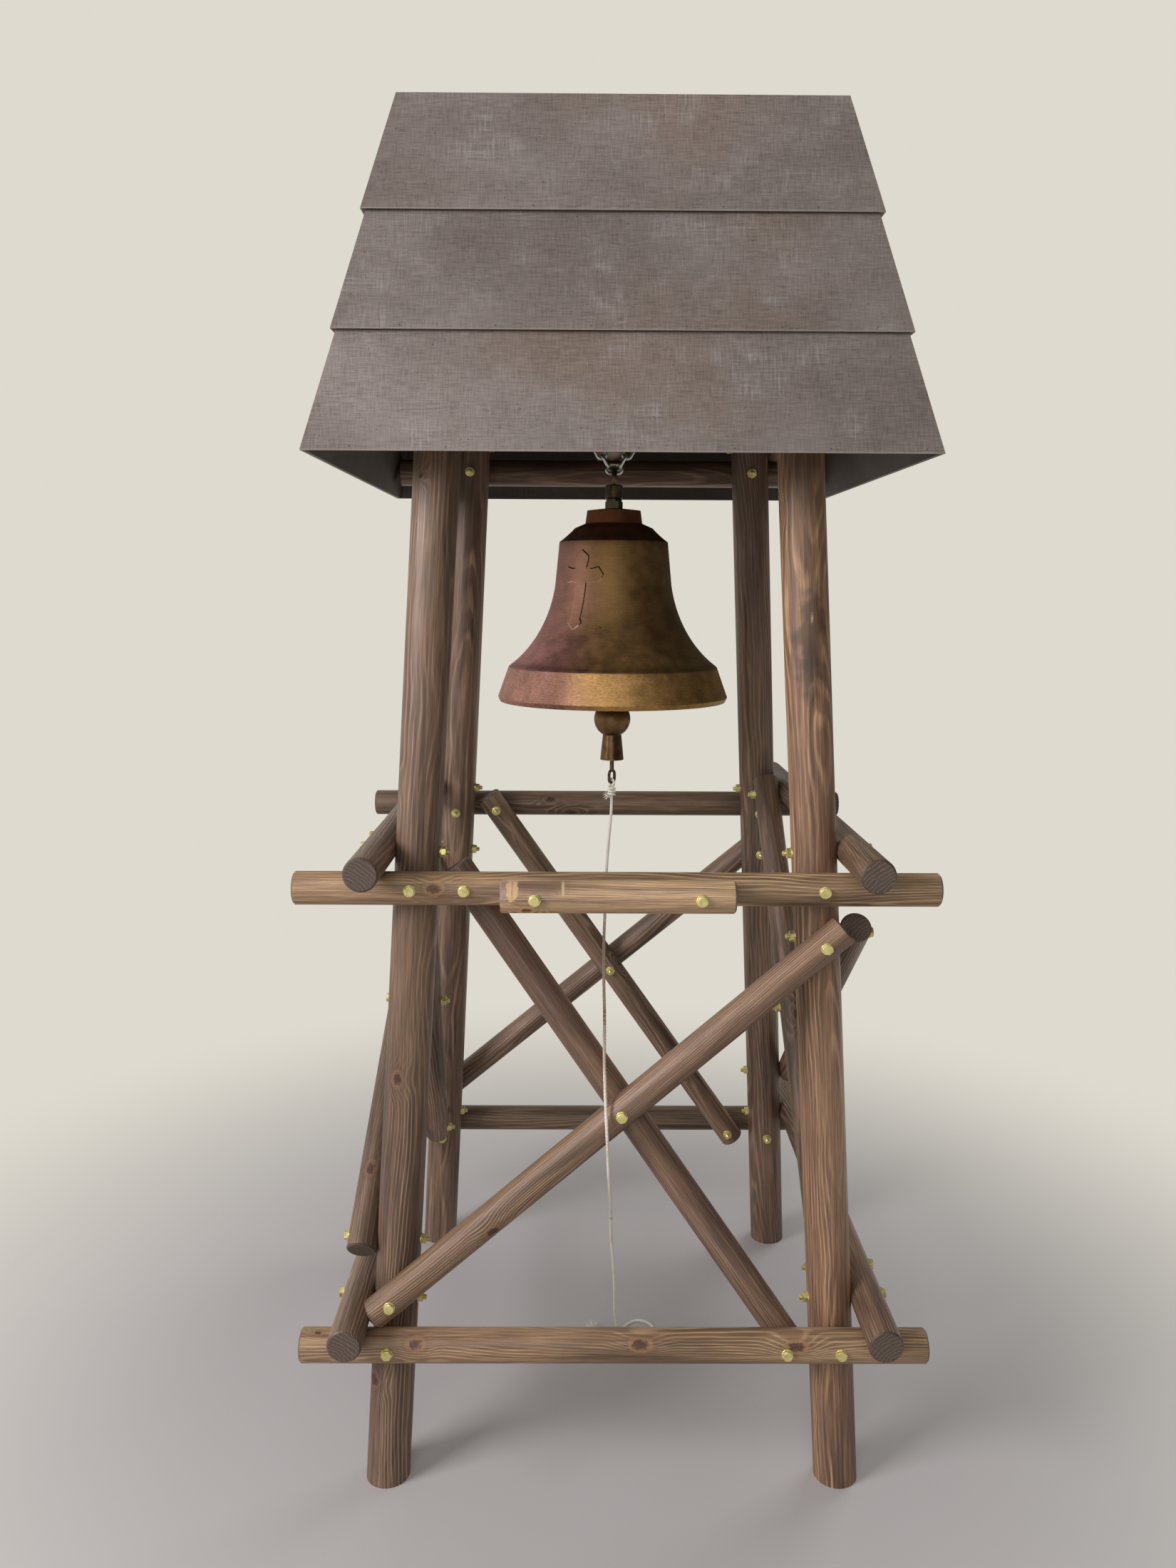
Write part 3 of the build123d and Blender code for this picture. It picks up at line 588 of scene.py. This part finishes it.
def bell_finish(t):
    """Cast brass with a copper patina, brushed round the bell and brighter at the lip, with
    painted light and shade on it.
    """
    place = t.place()
    x, y, z = t.split(place)
    up = t.minus(z, BELL_MOUTH)
    radius = t.length(t.join(x, y, 0.0))
    angle = t.math("ARCTAN2", y, x)
    turned = t.join(t.times(angle, 6.0), t.times(radius, 700.0), t.times(z, 700.0))
    brushed = t.noise(turned, 1.0, 3.0, 0.6)
    cast = t.noise(place, 34.0, 4.0, 0.6)
    patches = t.noise(place, 5.2, 3.0)
    pitted = t.noise(place, 420.0)
    # Pink towards the left side is a painted sheen, and the dark olive towards the right side is
    # painted shade.
    side = t.rescale(t.plus(x, t.times(t.minus(patches, 0.5), 0.12)), -0.13, -0.02)
    colour = t.mix(side, shade(140, 99, 94), shade(128, 100, 62))
    right_painted_shade = t.rescale(t.plus(x, t.times(patches, 0.1)), 0.08, 0.22)
    colour = t.tint(colour, right_painted_shade, 0.75, shade(88, 76, 48))
    # Lighter towards the mouth: painted light.
    colour = t.shaded(colour, t.rescale(up, *FLARE, 1.0, 1.6))
    lip = t.rescale(up, *LIP)
    sloping = t.join(t.times(t.plus(angle, t.times(z, 7.0)), 90.0), 0.0,
                     t.times(t.minus(z, t.times(angle, 0.04)), 900.0))
    strokes = t.streaks(sloping, (0.25, 1.0, 0.6))
    # The lip's brighter brushed band is partly polish and partly a painted highlight, with the
    # same painted sheen on the left and painted shade on the right.
    bright = t.mix(side, shade(158, 117, 102), shade(178, 140, 88))
    bright = t.tint(bright, right_painted_shade, 0.6, shade(130, 104, 62))
    bright = t.shaded(bright, t.spread(strokes, 0.78, 1.2))
    colour = t.mix(lip, colour, bright)
    # The dark of the shoulder is partly oxide and partly painted shade under the roof.
    oxide_and_painted_shade = t.rescale(up, *SHOULDER)
    colour = t.tint(colour, oxide_and_painted_shade, 0.72, shade(74, 42, 28))
    colour = t.tint(colour, t.rescale(up, *CAP), 0.6, shade(136, 80, 54))
    groove = t.times(t.rescale(up, *GROOVE_FOOT), t.rescale(up, *GROOVE_HEAD))
    colour = t.tint(colour, groove, 0.35, shade(58, 38, 26))
    for degrees, height in PITS:
        way = radians(degrees)
        spot = (BELL_WAIST * sin(way), -BELL_WAIST * cos(way), BELL_MOUTH + height)
        pit = t.rescale(t.distance(place, spot, (1.0, 0.1, 1.0)), *PIT_REACH)
        pit = t.times(pit, t.rescale(y, 0.0, -0.02))
        colour = t.tint(colour, pit, 0.7, shade(50, 34, 24))
    colour = t.shaded(colour, t.spread(cast, 0.82, 1.16))
    colour = t.shaded(colour, t.spread(brushed, 0.88, 1.12))
    roughness = t.plus(t.spread(cast, 0.46, 0.58), t.times(oxide_and_painted_shade, 0.1))
    relief = t.plus(t.times(brushed, 0.4), t.times(pitted, 0.3))
    relief = t.plus(relief, t.times(cast, 0.9))
    return colour, roughness, relief, BELL_BUMP


def metal(name, metallic, shades, smooth=0.34, scale=60.0):
    """The material of a small cast or plated fitting: its dark, light and worn shades."""
    low, high, worn = [shade(*values) for values in shades]

    def build(t):
        place = t.place()
        cloud = t.noise(place, scale, 3.0, 0.6)
        fine = t.noise(place, scale * 9)
        colour = t.ramp(cloud, [(0.32, low), (0.62, high)])
        colour = t.mix(t.rescale(fine, 0.6, 0.75, 0.0, 0.5), colour, worn)
        roughness = t.spread(cloud, smooth - 0.06, smooth + 0.14)
        return colour, roughness, fine, FITTING_BUMP
    return material(name, build, Metallic=metallic)


bell_metal = material("bell_metal", bell_finish, Metallic=0.85)
bronze = metal("grey_bronze", 0.9, ((66, 60, 47), (100, 92, 72), (132, 122, 98)))
clapper_brass = metal("clapper_brass", 0.9, ((86, 65, 44), (132, 104, 70), (166, 134, 96)),
                      scale=26.0)
zinc = metal("bright_zinc", 0.95, ((150, 152, 150), (206, 208, 204), (232, 232, 228)), 0.26)
yellow_zinc = metal("yellow_zinc", 0.7, ((206, 192, 118), (232, 222, 158), (244, 238, 208)),
                    0.3, 120.0)
dark_iron = metal("dark_iron", 0.9, ((62, 54, 46), (104, 92, 78), (140, 126, 106)), 0.42)

for name, made in (("bell", bell_metal), ("bell_nut", bronze), ("swivel", bronze),
                   ("hanger_eye", bronze), ("hanger_chain", zinc), ("clapper_bracket", dark_iron),
                   ("clapper", clapper_brass), ("clapper_hook", dark_iron)):
    dress(name, made)


# Mesh helpers
def skin(bm, rings):
    """Faces between rings of vertices, which have one length or are a single point."""
    for lower, upper in zip(rings, rings[1:]):
        count = max(len(lower), len(upper))
        for i in range(count):
            after = (i + 1) % count
            corners = [lower[i % len(lower)], lower[after % len(lower)],
                       upper[after % len(upper)], upper[i % len(upper)]]
            face = list(dict.fromkeys(corners))
            if len(face) > 2:
                bm.faces.new(face)


def lathe(bm, profile, matrix, sides=24):
    """A turned form: profile is (radius, height) from bottom to top, in metres."""
    rings = []
    for radius, height in profile:
        if radius < 1e-6:
            rings.append([bm.verts.new(matrix @ Vector((0.0, 0.0, height)))])
            continue
        angles = [tau * i / sides for i in range(sides)]
        spots = [Vector((radius * cos(angle), radius * sin(angle), height)) for angle in angles]
        rings.append([bm.verts.new(matrix @ spot) for spot in spots])
    skin(bm, rings)


FACE_SHARE = 0.94  # a nut's round face as a share of its width across the flats
CHAMFER_SLOPE = tan(radians(30))


def hexagon(bm, across_flats, low, high, matrix, steps=6):
    """A hexagonal head or nut, with the round chamfer on its outer end."""
    flat = across_flats / 2
    face_radius = flat * FACE_SHARE
    outlines = [[], [], []]
    for i in range(6 * steps):
        angle = tau * i / (6 * steps)
        within = (angle + pi / 6) % (pi / 3) - pi / 6
        radius = flat / cos(within)
        drop = (radius - face_radius) * CHAMFER_SLOPE
        way = Vector((cos(angle), sin(angle), 0.0))
        corners = ((radius, low), (radius, high - drop), (face_radius, high))
        for outline, (reach, height) in zip(outlines, corners):
            outline.append(bm.verts.new(matrix @ (way * reach + Vector((0.0, 0.0, height)))))
    skin(bm, outlines)
    bm.faces.new(outlines[-1])


def piece(name, bm, made, body, smooth=30):
    """A mesh piece, smooth up to an angle in degrees, with its material and, when one is named,
    its body.
    """
    bmesh.ops.recalc_face_normals(bm, faces=bm.faces)
    mesh = bpy.data.meshes.new(name)
    bm.to_mesh(mesh)
    bm.free()
    mesh.polygons.foreach_set("use_smooth", [True] * len(mesh.polygons))
    mesh.set_sharp_from_angle(angle=radians(smooth))
    mesh.materials.append(made)
    obj = bpy.data.objects.new(name, mesh)
    bpy.context.collection.objects.link(obj)
    if body:
        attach(obj, body)
    return obj


# Bolts through the logs
BOLT = 10 * MM
BOLT_FLATS = 17 * MM
HEAD_HEIGHT = 6.4 * MM
NUT_HEIGHT = 8 * MM
TIP_LENGTH = 7 * MM
WASHER_RADIUS = 10.5 * MM
WASHER_TOP = MM
WASHER_SUNK = 1.6 * MM  # how far it goes into the round of the log
WASHER_EDGE = 0.4 * MM
THREAD_PITCH = 1.5 * MM
THREAD_DEPTH = 0.7 * MM


def outward_matrix(seat, way, turn):
    """The frame of a fitting that stands on seat and points along way."""
    stand = way.to_track_quat("Z", "Y").to_matrix().to_4x4()
    return Matrix.Translation(seat) @ stand @ Matrix.Rotation(turn, 4, "Z")


def washer(bm, matrix):
    lathe(bm, [(WASHER_RADIUS, -WASHER_SUNK), (WASHER_RADIUS, WASHER_TOP - WASHER_EDGE),
               (WASHER_RADIUS - WASHER_EDGE, WASHER_TOP), (BOLT / 2, WASHER_TOP)], matrix)


def bolt_head(bm, matrix):
    washer(bm, matrix)
    hexagon(bm, BOLT_FLATS, WASHER_TOP, WASHER_TOP + HEAD_HEIGHT, matrix)


def bolt_end(bm, matrix):
    """Washer, nut and the threaded tip that stands out of it."""
    washer(bm, matrix)
    top = WASHER_TOP + NUT_HEIGHT
    hexagon(bm, BOLT_FLATS, WASHER_TOP, top, matrix)
    root = BOLT / 2 - THREAD_DEPTH
    profile = [(root, top - MM)]
    ridges = int(TIP_LENGTH / THREAD_PITCH)
    for ridge in range(ridges):
        base = top + ridge * THREAD_PITCH
        profile += [(root, base), (BOLT / 2, base + THREAD_PITCH / 2)]
    end = top + ridges * THREAD_PITCH
    profile += [(root, end), (BOLT / 2 - 2 * MM, end + MM), (0.0, end + 1.2 * MM)]
    lathe(bm, profile, matrix, sides=16)


def bolt_through(bm, outer, inner, turns, near=None):
    """A bolt through two logs where they cross, or at a place on both that lie side by side."""
    axis_a, centre_a, radius_a = frames[outer]
    axis_b, centre_b, radius_b = frames[inner]
    if near is None:
        spot_a, spot_b = geometry.intersect_line_line(centre_a, centre_a + axis_a,
                                                      centre_b, centre_b + axis_b)
    else:
        spot_a = centre_a + axis_a * (near - centre_a).dot(axis_a)
        spot_b = centre_b + axis_b * (near - centre_b).dot(axis_b)
    way = (spot_a - spot_b).normalized()
    bolt_head(bm, outward_matrix(spot_a + way * radius_a, way, turns.uniform(0, pi / 3)))
    bolt_end(bm, outward_matrix(spot_b - way * radius_b, -way, turns.uniform(0, pi / 3)))


SHORT_LOG_BOLTS = 0.139  # from the middle of the short log to each of its bolts
TURN_SEED = 5
turns = random.Random(TURN_SEED)
for side in SIDES:
    bm = bmesh.new()
    for level in ("lower", "mid", "top"):
        for leg in LEGS[side]:
            bolt_through(bm, f"{level}_beam_{side}", "leg_" + leg, turns)
    for level in ("lower", "mid"):
        bolt_through(bm, f"{level}_beam_{side}", "inner_brace_" + side, turns)
    for inner in ("leg_" + LEGS[side][0], "leg_" + LEGS[side][1], "inner_brace_" + side):
        bolt_through(bm, "outer_brace_" + side, inner, turns)
    if side == "front":
        for way in (-1, 1):
            near = frames["short_log"][1] + Vector((way * SHORT_LOG_BOLTS, 0.0, 0.0))
            bolt_through(bm, "short_log", "mid_beam_front", turns, near)
    piece("bolts_" + side, bm, yellow_zinc, "tower")

# Cross in relief on the bell's front
CROSS_ANGLE = radians(-34)  # round the bell from its front
CROSS_ABOVE_MOUTH = 0.249
CROSS_RAISE = 1.5 * MM
CROSS_SUNK = 0.7 * MM
CROSS_SLOPE = 3.2 * MM  # how far the sloping sides run out
CROSS_STEP = 5 * MM
CROSS_CUTS = ((0, 0.05), (1, 0.11))  # axis, and how far the cuts that let it bend reach
# Right half of its outline, across and up in mm
CROSS_HALF = [(0, 46), (13.5, 35), (13.5, 29), (10.5, 17), (10.5, 12), (23, 11), (35, 14.5),
              (45, 0), (35, -14.5), (23, -11), (10.5, -14), (9, -82), (14, -91), (0, -103)]


def bell_surface():
    """A function from an angle round the bell and a height to the point on its outside."""
    tree = BVHTree.FromPolygons([vertex.co for vertex in nodes["bell"].data.vertices],
                                [polygon.vertices for polygon in nodes["bell"].data.polygons])

    def point(angle, height):
        way = Vector((sin(angle), -cos(angle), 0.0))
        start = way + Vector((0.0, 0.0, height))
        return tree.ray_cast(start, -way)[0], way
    return point


def cross_relief():
    """The cross with sloping sides, bent round the bell."""
    bm = bmesh.new()
    left = [(-across, up) for across, up in reversed(CROSS_HALF[1:-1])]
    outline = [bm.verts.new((across * MM, up * MM, 0.0)) for across, up in CROSS_HALF + left]
    bm.faces.new(outline)
    for axis, reach in CROSS_CUTS:
        count = ceil(reach / CROSS_STEP)
        for i in range(-count, count + 1):
            spot, way = Vector((0, 0, 0)), Vector((0, 0, 0))
            spot[axis], way[axis] = i * CROSS_STEP, 1
            whole = bm.verts[:] + bm.edges[:] + bm.faces[:]
            bmesh.ops.bisect_plane(bm, geom=whole, plane_co=spot, plane_no=way)
    rim = [edge for edge in bm.edges if edge.is_boundary]
    outward = {}
    for edge in rim:
        along = (edge.verts[1].co - edge.verts[0].co).normalized()
        way = Vector((along.y, -along.x, 0.0))
        middle = (edge.verts[0].co + edge.verts[1].co) / 2
        if way.dot(edge.link_faces[0].calc_center_median() - middle) > 0:
            way.negate()
        for vertex in edge.verts:
            outward.setdefault(tuple(round(value / MM, 3) for value in vertex.co), []).append(way)
    top = set(bm.verts)
    sides = bmesh.ops.extrude_edge_only(bm, edges=rim)["geom"]
    for vertex in (item for item in sides if isinstance(item, bmesh.types.BMVert)):
        ways = outward[tuple(round(value / MM, 3) for value in vertex.co)]
        mitre = (ways[0] + ways[-1]) / max(1 + ways[0].dot(ways[-1]), 0.4)
        vertex.co += mitre * CROSS_SLOPE
        vertex.co.z = -CROSS_SUNK
    for face in (item for item in sides if isinstance(item, bmesh.types.BMFace)):
        way = Vector((0.0, 0.0, 0.0))
        for vertex in face.verts:
            way += -vertex.co if vertex in top else vertex.co
        way.normalize()
        # Sides facing left or down get slot 2, a painted highlight; the others get slot 1, painted
        # shade.
        face.material_index = 2 if way.x < -0.3 or way.y < -0.45 else 1
    for vertex in top:
        vertex.co.z = CROSS_RAISE
    point = bell_surface()
    for vertex in bm.verts:
        height = BELL_MOUTH + CROSS_ABOVE_MOUTH + vertex.co.y
        middle, way = point(CROSS_ANGLE, height)
        radius = Vector((middle.x, middle.y)).length
        spot, way = point(CROSS_ANGLE + vertex.co.x / radius, height)
        vertex.co = spot + way * vertex.co.z
    return bm


cross = piece("cross_relief", cross_relief(), bell_metal, "tower", 15)
# The relief's sloping sides: painted shade on those facing right and up, and a painted highlight
# on those facing left and down.
for label, shades in (("relief_painted_shade", ((56, 36, 26), (82, 56, 40), (104, 78, 56))),
                      ("relief_lit", ((176, 134, 112), (212, 170, 144), (228, 192, 164)))):
    cross.data.materials.append(metal(label, 0.5, shades, 0.42))

# Rope, its knot and its frayed end
# Control points of its middle line below the knot, in mm
ROPE_POINTS = [
    (0, 0, 1180.2), (-5, -27.8, 1139.9), (-11, -76.1, 1079.8), (-14, -136.2, 1022.1),
    (-18, -202, 967.8), (-19, -271.8, 914), (-18, -342.1, 864), (-20, -404.1, 821.7),
    (-19, -448, 776.1), (-17, -478.2, 729.9), (-15, -488, 689.8), (-12, -451.9, 621.9),
    (-8, -400.2, 549.6), (-4, -342.1, 480.3), (-2, -286, 403.7), (4, -227.9, 330.7),
    (8, -173.2, 251.8), (12, -116.1, 175.9), (13, -69.8, 102.2), (22, -34.2, 35.8),
    (30, 0, 3.2), (42, 36, 3.2), (70, 56, 3.2), (100, 40, 3.2),
    (110, 0, 3.2), (84, -36, 3.2), (40, -44, 3.2), (0, -26, 3.2), (-25, 9, 3.2),
]
STRAND_RADIUS = 1.75 * MM
STRAND_OFFSET = 1.4 * MM
STRAND_LAY = 19 * MM  # one turn of a strand round the rope
ROPE_STEP = 1.6 * MM
ROPE_GAP = 0.5 * MM
RED_MARKS = ((0.868, 0.016), (0.467, 0.005))  # height and half length
SOILED_TOP = (1.1, 0.98)  # heights where the soiling begins and where it is full
SOILED_FOOT = (0.72, 0.82)
ROPE_BUMP = 0.0003
ROPE_ROUGHNESS = 0.85


def smooth_line(points, step):
    """Points a step apart on the NURBS spline that has these control points."""
    curve = bpy.data.curves.new("line", "CURVE")
    curve.dimensions = "3D"
    curve.resolution_u = 16
    spline = curve.splines.new("NURBS")
    spline.points.add(len(points) - 1)
    for control, place in zip(spline.points, points):
        control.co = (*place, 1.0)
    spline.order_u = 3
    spline.use_endpoint_u = True
    holder = bpy.data.objects.new("line", curve)
    read = bpy.data.meshes.new_from_object(holder)
    spots = np.array([vertex.co for vertex in read.vertices])
    bpy.data.meshes.remove(read)
    bpy.data.objects.remove(holder)
    bpy.data.curves.remove(curve)
    along = np.concatenate([[0], np.cumsum(np.linalg.norm(np.diff(spots, axis=0), axis=1))])
    places = np.linspace(0, along[-1], max(3, ceil(along[-1] / step) + 1))
    return [Vector([np.interp(place, along, spots[:, axis]) for axis in range(3)])
            for place in places]


def carried_frames(line):
    """Two directions across the line at each of its points, carried along without twist."""
    befores, afters = line[:1] + line, line[1:] + line[-1:]
    ways = [(after - before).normalized() for before, after in zip(befores, afters)]
    side = ways[0].orthogonal().normalized()
    frames_along = []
    for way in ways:
        side = (side - way * side.dot(way)).normalized()
        frames_along.append((side, way.cross(side)))
    return frames_along


def tube(bm, line, radii, sides=6):
    """A closed tube along a line, with one radius for each of its points."""
    rings = []
    angles = [tau * i / sides for i in range(sides)]
    for spot, (side, up), radius in zip(line, carried_frames(line), radii):
        rings.append([bm.verts.new(spot + (side * cos(angle) + up * sin(angle)) * radius)
                      for angle in angles])
    skin(bm, rings)
    bm.faces.new(list(reversed(rings[0])))
    bm.faces.new(rings[-1])


def strands(bm, line, scale=1.0):
    """Three strands laid round a line that has even steps."""
    step = (line[1] - line[0]).length
    across = carried_frames(line)
    for strand in range(3):
        path = []
        for i, (spot, (side, up)) in enumerate(zip(line, across)):
            angle = tau * (i * step / STRAND_LAY + strand / 3)
            path.append(spot + (side * cos(angle) + up * sin(angle)) * STRAND_OFFSET * scale)
        tube(bm, path, [STRAND_RADIUS * scale] * len(path))


FRAY_SEED = 3
FIBRE_RADII = (0.6, 0.3)  # at its root and its tip, in mm
FIBRE_BENDS = 4
FIBRE_FLOOR = 0.8 * MM  # how low a fibre's middle line may lie
ROOT_SPREAD = 1.5 * MM
FINE_STEP = 1.5 * MM
draw = random.Random(FRAY_SEED)


def fibres(bm, root, ways, count, reach, curl=0.5):
    """Loose fibres that leave a root roughly along one of the given ways and curl."""
    for _ in range(count):
        way = Vector(draw.choice(ways)) + Vector([draw.uniform(-curl, curl) for _ in range(3)])
        way.normalize()
        spot = root + Vector([draw.uniform(-1, 1) for _ in range(3)]) * ROOT_SPREAD
        length = reach * draw.uniform(0.5, 1.0)
        points = [spot.copy()]
        for _ in range(FIBRE_BENDS):
            way = (way + Vector([draw.uniform(-curl, curl) for _ in range(3)])).normalized()
            spot = spot + way * length / FIBRE_BENDS
            spot.z = max(spot.z, FIBRE_FLOOR)
            points.append(spot.copy())
        line = smooth_line(points, FINE_STEP)
        tube(bm, line, np.linspace(*FIBRE_RADII, len(line)) * MM, sides=4)


def rope_finish(t):
    """Off-white twisted cotton, a little soiled, with two red marks."""
    place = t.place()
    z = t.split(place)[2]
    fine = t.noise(place, 1400.0, 3.0, 0.6)
    soil = t.noise(place, 16.0, 3.0)
    colour = t.ramp(soil, [(0.35, shade(236, 228, 208)), (0.6, shade(252, 248, 236))])
    handled = t.plus(z, t.spread(soil, -0.06, 0.06))
    soiled = t.times(t.rescale(handled, *SOILED_TOP), t.rescale(handled, *SOILED_FOOT))
    colour = t.tint(colour, soiled, 0.9, shade(196, 175, 150))
    colour = t.shaded(colour, t.spread(fine, 0.88, 1.06))
    marks = 0.0
    for height, half in RED_MARKS:
        way = t.math("ABSOLUTE", t.minus(z, height))
        marks = t.math("MAXIMUM", marks, t.rescale(way, half, half * 0.4))
    marks = t.times(marks, t.rescale(t.noise(place, 240.0), 0.42, 0.56))
    colour = t.tint(colour, marks, 0.7, shade(150, 52, 42))
    return colour, ROPE_ROUGHNESS, fine, ROPE_BUMP


cotton = material("cotton_rope", rope_finish)
knot_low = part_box("rope_knot")[0]
rope_start = Vector((0.0, 0.0, knot_low.z - ROPE_GAP))
rope_line = smooth_line([rope_start] + [Vector(point) * MM for point in ROPE_POINTS], ROPE_STEP)
bm = bmesh.new()
strands(bm, rope_line)
rope = piece("rope", bm, cotton, None, 60)
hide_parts("bell_rope")
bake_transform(rope)

KNOT_TURNS = 3.2
KNOT_STEPS = 10  # for each of its turns
KNOT_ROUND = 6.4 * MM
KNOT_SCALE = 0.86  # of the rope's own strands, as they are pulled tight
KNOT_STEP = 1.2 * MM
COIL_DROP = 9  # from the loop to the first turn, in mm
COIL_HEIGHT = 19
LOOP_UP = 3 * MM  # from the foot of the hook
# The loop through the hook: across and up in mm, then its turn about Z
LOOP = ((-4.8, -6), (-6.4, 0), (-5.0, 5.6), (0, 8.2), (5.0, 5.6), (6.4, 0), (5.4, -6))
LOOP_ASIDE = 0.4 * MM
LOOP_TURN = radians(42)
loop_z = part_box("clapper_hook")[0].z + LOOP_UP
turn_loop = Matrix.Rotation(LOOP_TURN, 3, "Z")
knot_points = [Vector((0, 0, knot_low.z)),
               Vector((0.4, -0.6, 0)) * MM + Vector((0, 0, knot_low.z + 12 * MM))]
for across, up in LOOP:
    spot = turn_loop @ Vector((LOOP_ASIDE, across * MM, 0))
    knot_points.append(spot + Vector((0, 0, loop_z + up * MM)))
for i in range(int(KNOT_TURNS * KNOT_STEPS)):
    angle = tau * i / KNOT_STEPS + pi / 2
    height = loop_z - (COIL_DROP + COIL_HEIGHT * i / (KNOT_TURNS * KNOT_STEPS)) * MM
    knot_points.append(Vector((KNOT_ROUND * cos(angle), KNOT_ROUND * sin(angle), height)))
fray_root = knot_points[-1] + Vector((-4, -3, -1)) * MM
knot_points.append(fray_root)
bm = bmesh.new()
strands(bm, smooth_line(knot_points, KNOT_STEP), KNOT_SCALE)
ways = [(-1, -0.3, 0.2), (-0.8, -0.6, 0.9), (0.9, -0.8, -0.1), (-0.7, 0.4, -0.4)]
fibres(bm, fray_root, ways, count=26, reach=15 * MM)
ways = [(-0.6, -0.5, 0.8), (0.5, -0.6, 0.4)]
fibres(bm, Vector((0.0, -3 * MM, loop_z - 6 * MM)), ways, count=14, reach=10 * MM)
knot = piece("rope_knot_tied", bm, cotton, "clapper", 60)
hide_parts("rope_knot")

bm = bmesh.new()
ways = [(-1.0, 0.3, 0.1), (-0.8, 0.7, 0.45), (-0.6, 0.5, 0.7), (-0.2, 0.6, 0.6)]
fibres(bm, rope_line[-1], ways, count=34, reach=36 * MM, curl=0.4)
fray = piece("rope_fray", bm, cotton, "tower", 60)

# Camera, matched to the photograph
IMAGE_HEIGHT = 2200
SENSOR = 36.0
FOCAL_PIXELS = 1677.64
CAMERA_PLACE = Vector((-0.0638, -2.4214, 1.6329))
CAMERA_YAW = 0.0063  # this and the next two in radians
CAMERA_DIP = 0.1611
CAMERA_ROLL = -0.0051

ahead = Vector((sin(CAMERA_YAW) * cos(CAMERA_DIP), cos(CAMERA_YAW) * cos(CAMERA_DIP),
                -sin(CAMERA_DIP)))
level = Vector((cos(CAMERA_YAW), -sin(CAMERA_YAW), 0.0))
down = ahead.cross(level)
right = level * cos(CAMERA_ROLL) + down * sin(CAMERA_ROLL)
lens = bpy.data.cameras.new("camera")
lens.sensor_width = SENSOR
lens.lens = FOCAL_PIXELS * SENSOR / IMAGE_HEIGHT
camera = bpy.data.objects.new("camera", lens)
camera.matrix_world = Matrix.Translation(CAMERA_PLACE) @ Matrix(
    (right, -ahead.cross(right), -ahead)).transposed().to_4x4()
bpy.context.collection.objects.link(camera)
bpy.context.scene.camera = camera

# Floor, backdrop and light
BACKDROP = shade(222, 218, 207)
FLOOR = shade(198, 194, 191)
FLOOR_RADIUS = 14.0
FLOOR_CLEAR = 0.6  # from the tower's middle to where the floor keeps its own colour
FLOOR_FADE = 2.3  # and where it has turned into the backdrop


def floor_material():
    """A plain floor that turns into the backdrop further out."""
    made = bpy.data.materials.new("floor")
    t = fresh_tree(made)
    away = t.rescale(t.length(t.place()), FLOOR_CLEAR, FLOOR_FADE)
    painted = t.add("ShaderNodeBsdfPrincipled", {"Base Color": FLOOR, "Roughness": 0.55,
                                                 "Specular IOR Level": 0.3})
    paths = t.add("ShaderNodeLightPath").outputs
    seen = t.math("MAXIMUM", paths["Is Camera Ray"], paths["Is Glossy Ray"])
    far = t.add("ShaderNodeEmission", {"Color": BACKDROP})
    both = t.add("ShaderNodeMixShader", {0: t.times(away, seen), 1: painted.outputs[0],
                                         2: far.outputs[0]})
    t.add("ShaderNodeOutputMaterial", {0: both.outputs[0]})
    return made


bm = bmesh.new()
bmesh.ops.create_circle(bm, cap_ends=True, radius=FLOOR_RADIUS, segments=96)
floor = piece("floor", bm, floor_material(), None)

world = bpy.data.worlds.new("studio")
bpy.context.scene.world = world
sky = fresh_tree(world)
AMBIENT = 0.27
direction = sky.split(sky.add("ShaderNodeTexCoord").outputs["Generated"])
paths = sky.add("ShaderNodeLightPath").outputs
mirrored = sky.mix(sky.rescale(direction[0], -0.45, 0.6), BACKDROP, shade(72, 66, 58))
seen = sky.mix(paths["Is Camera Ray"], mirrored, BACKDROP)
passed = sky.math("MAXIMUM", paths["Is Glossy Ray"], paths["Is Transmission Ray"])
shown = sky.math("MAXIMUM", paths["Is Camera Ray"], passed)
ambient = sky.add("ShaderNodeBackground", {0: shade(236, 238, 240), 1: AMBIENT})
backdrop = sky.add("ShaderNodeBackground", {0: seen, 1: 1.0})
both = sky.add("ShaderNodeMixShader", {0: shown, 1: ambient.outputs[0], 2: backdrop.outputs[0]})
sky.add("ShaderNodeOutputWorld", {0: both.outputs[0]})


def lamp(name, place, aim, size, power, colour, mirrored=True):
    """A square soft light that looks at a point. Metal shows it unless mirrored is false."""
    light = bpy.data.lights.new(name, "AREA")
    light.size = size
    light.energy = power
    light.color = colour
    obj = bpy.data.objects.new(name, light)
    obj.visible_glossy = mirrored
    obj.location = place
    obj.rotation_euler = (Vector(aim) - Vector(place)).to_track_quat("-Z", "Y").to_euler()
    bpy.context.collection.objects.link(obj)


lamp("key", (-3.6, -2.5, 3.0), aim=(0, 0, 1.3), size=1.8, power=150, colour=(0.98, 0.94, 1.0))
lamp("front_fill", (-0.6, -4.4, 3.0), aim=(0, 0, 1.4), size=2.4, power=42,
     colour=(1.0, 0.98, 0.95))
lamp("back_fill", (2.9, 2.7, 2.6), aim=(0, 0, 1.3), size=2.4, power=66,
     colour=(0.97, 0.98, 1.0), mirrored=False)

view = bpy.context.scene.view_settings
view.view_transform = "Standard"
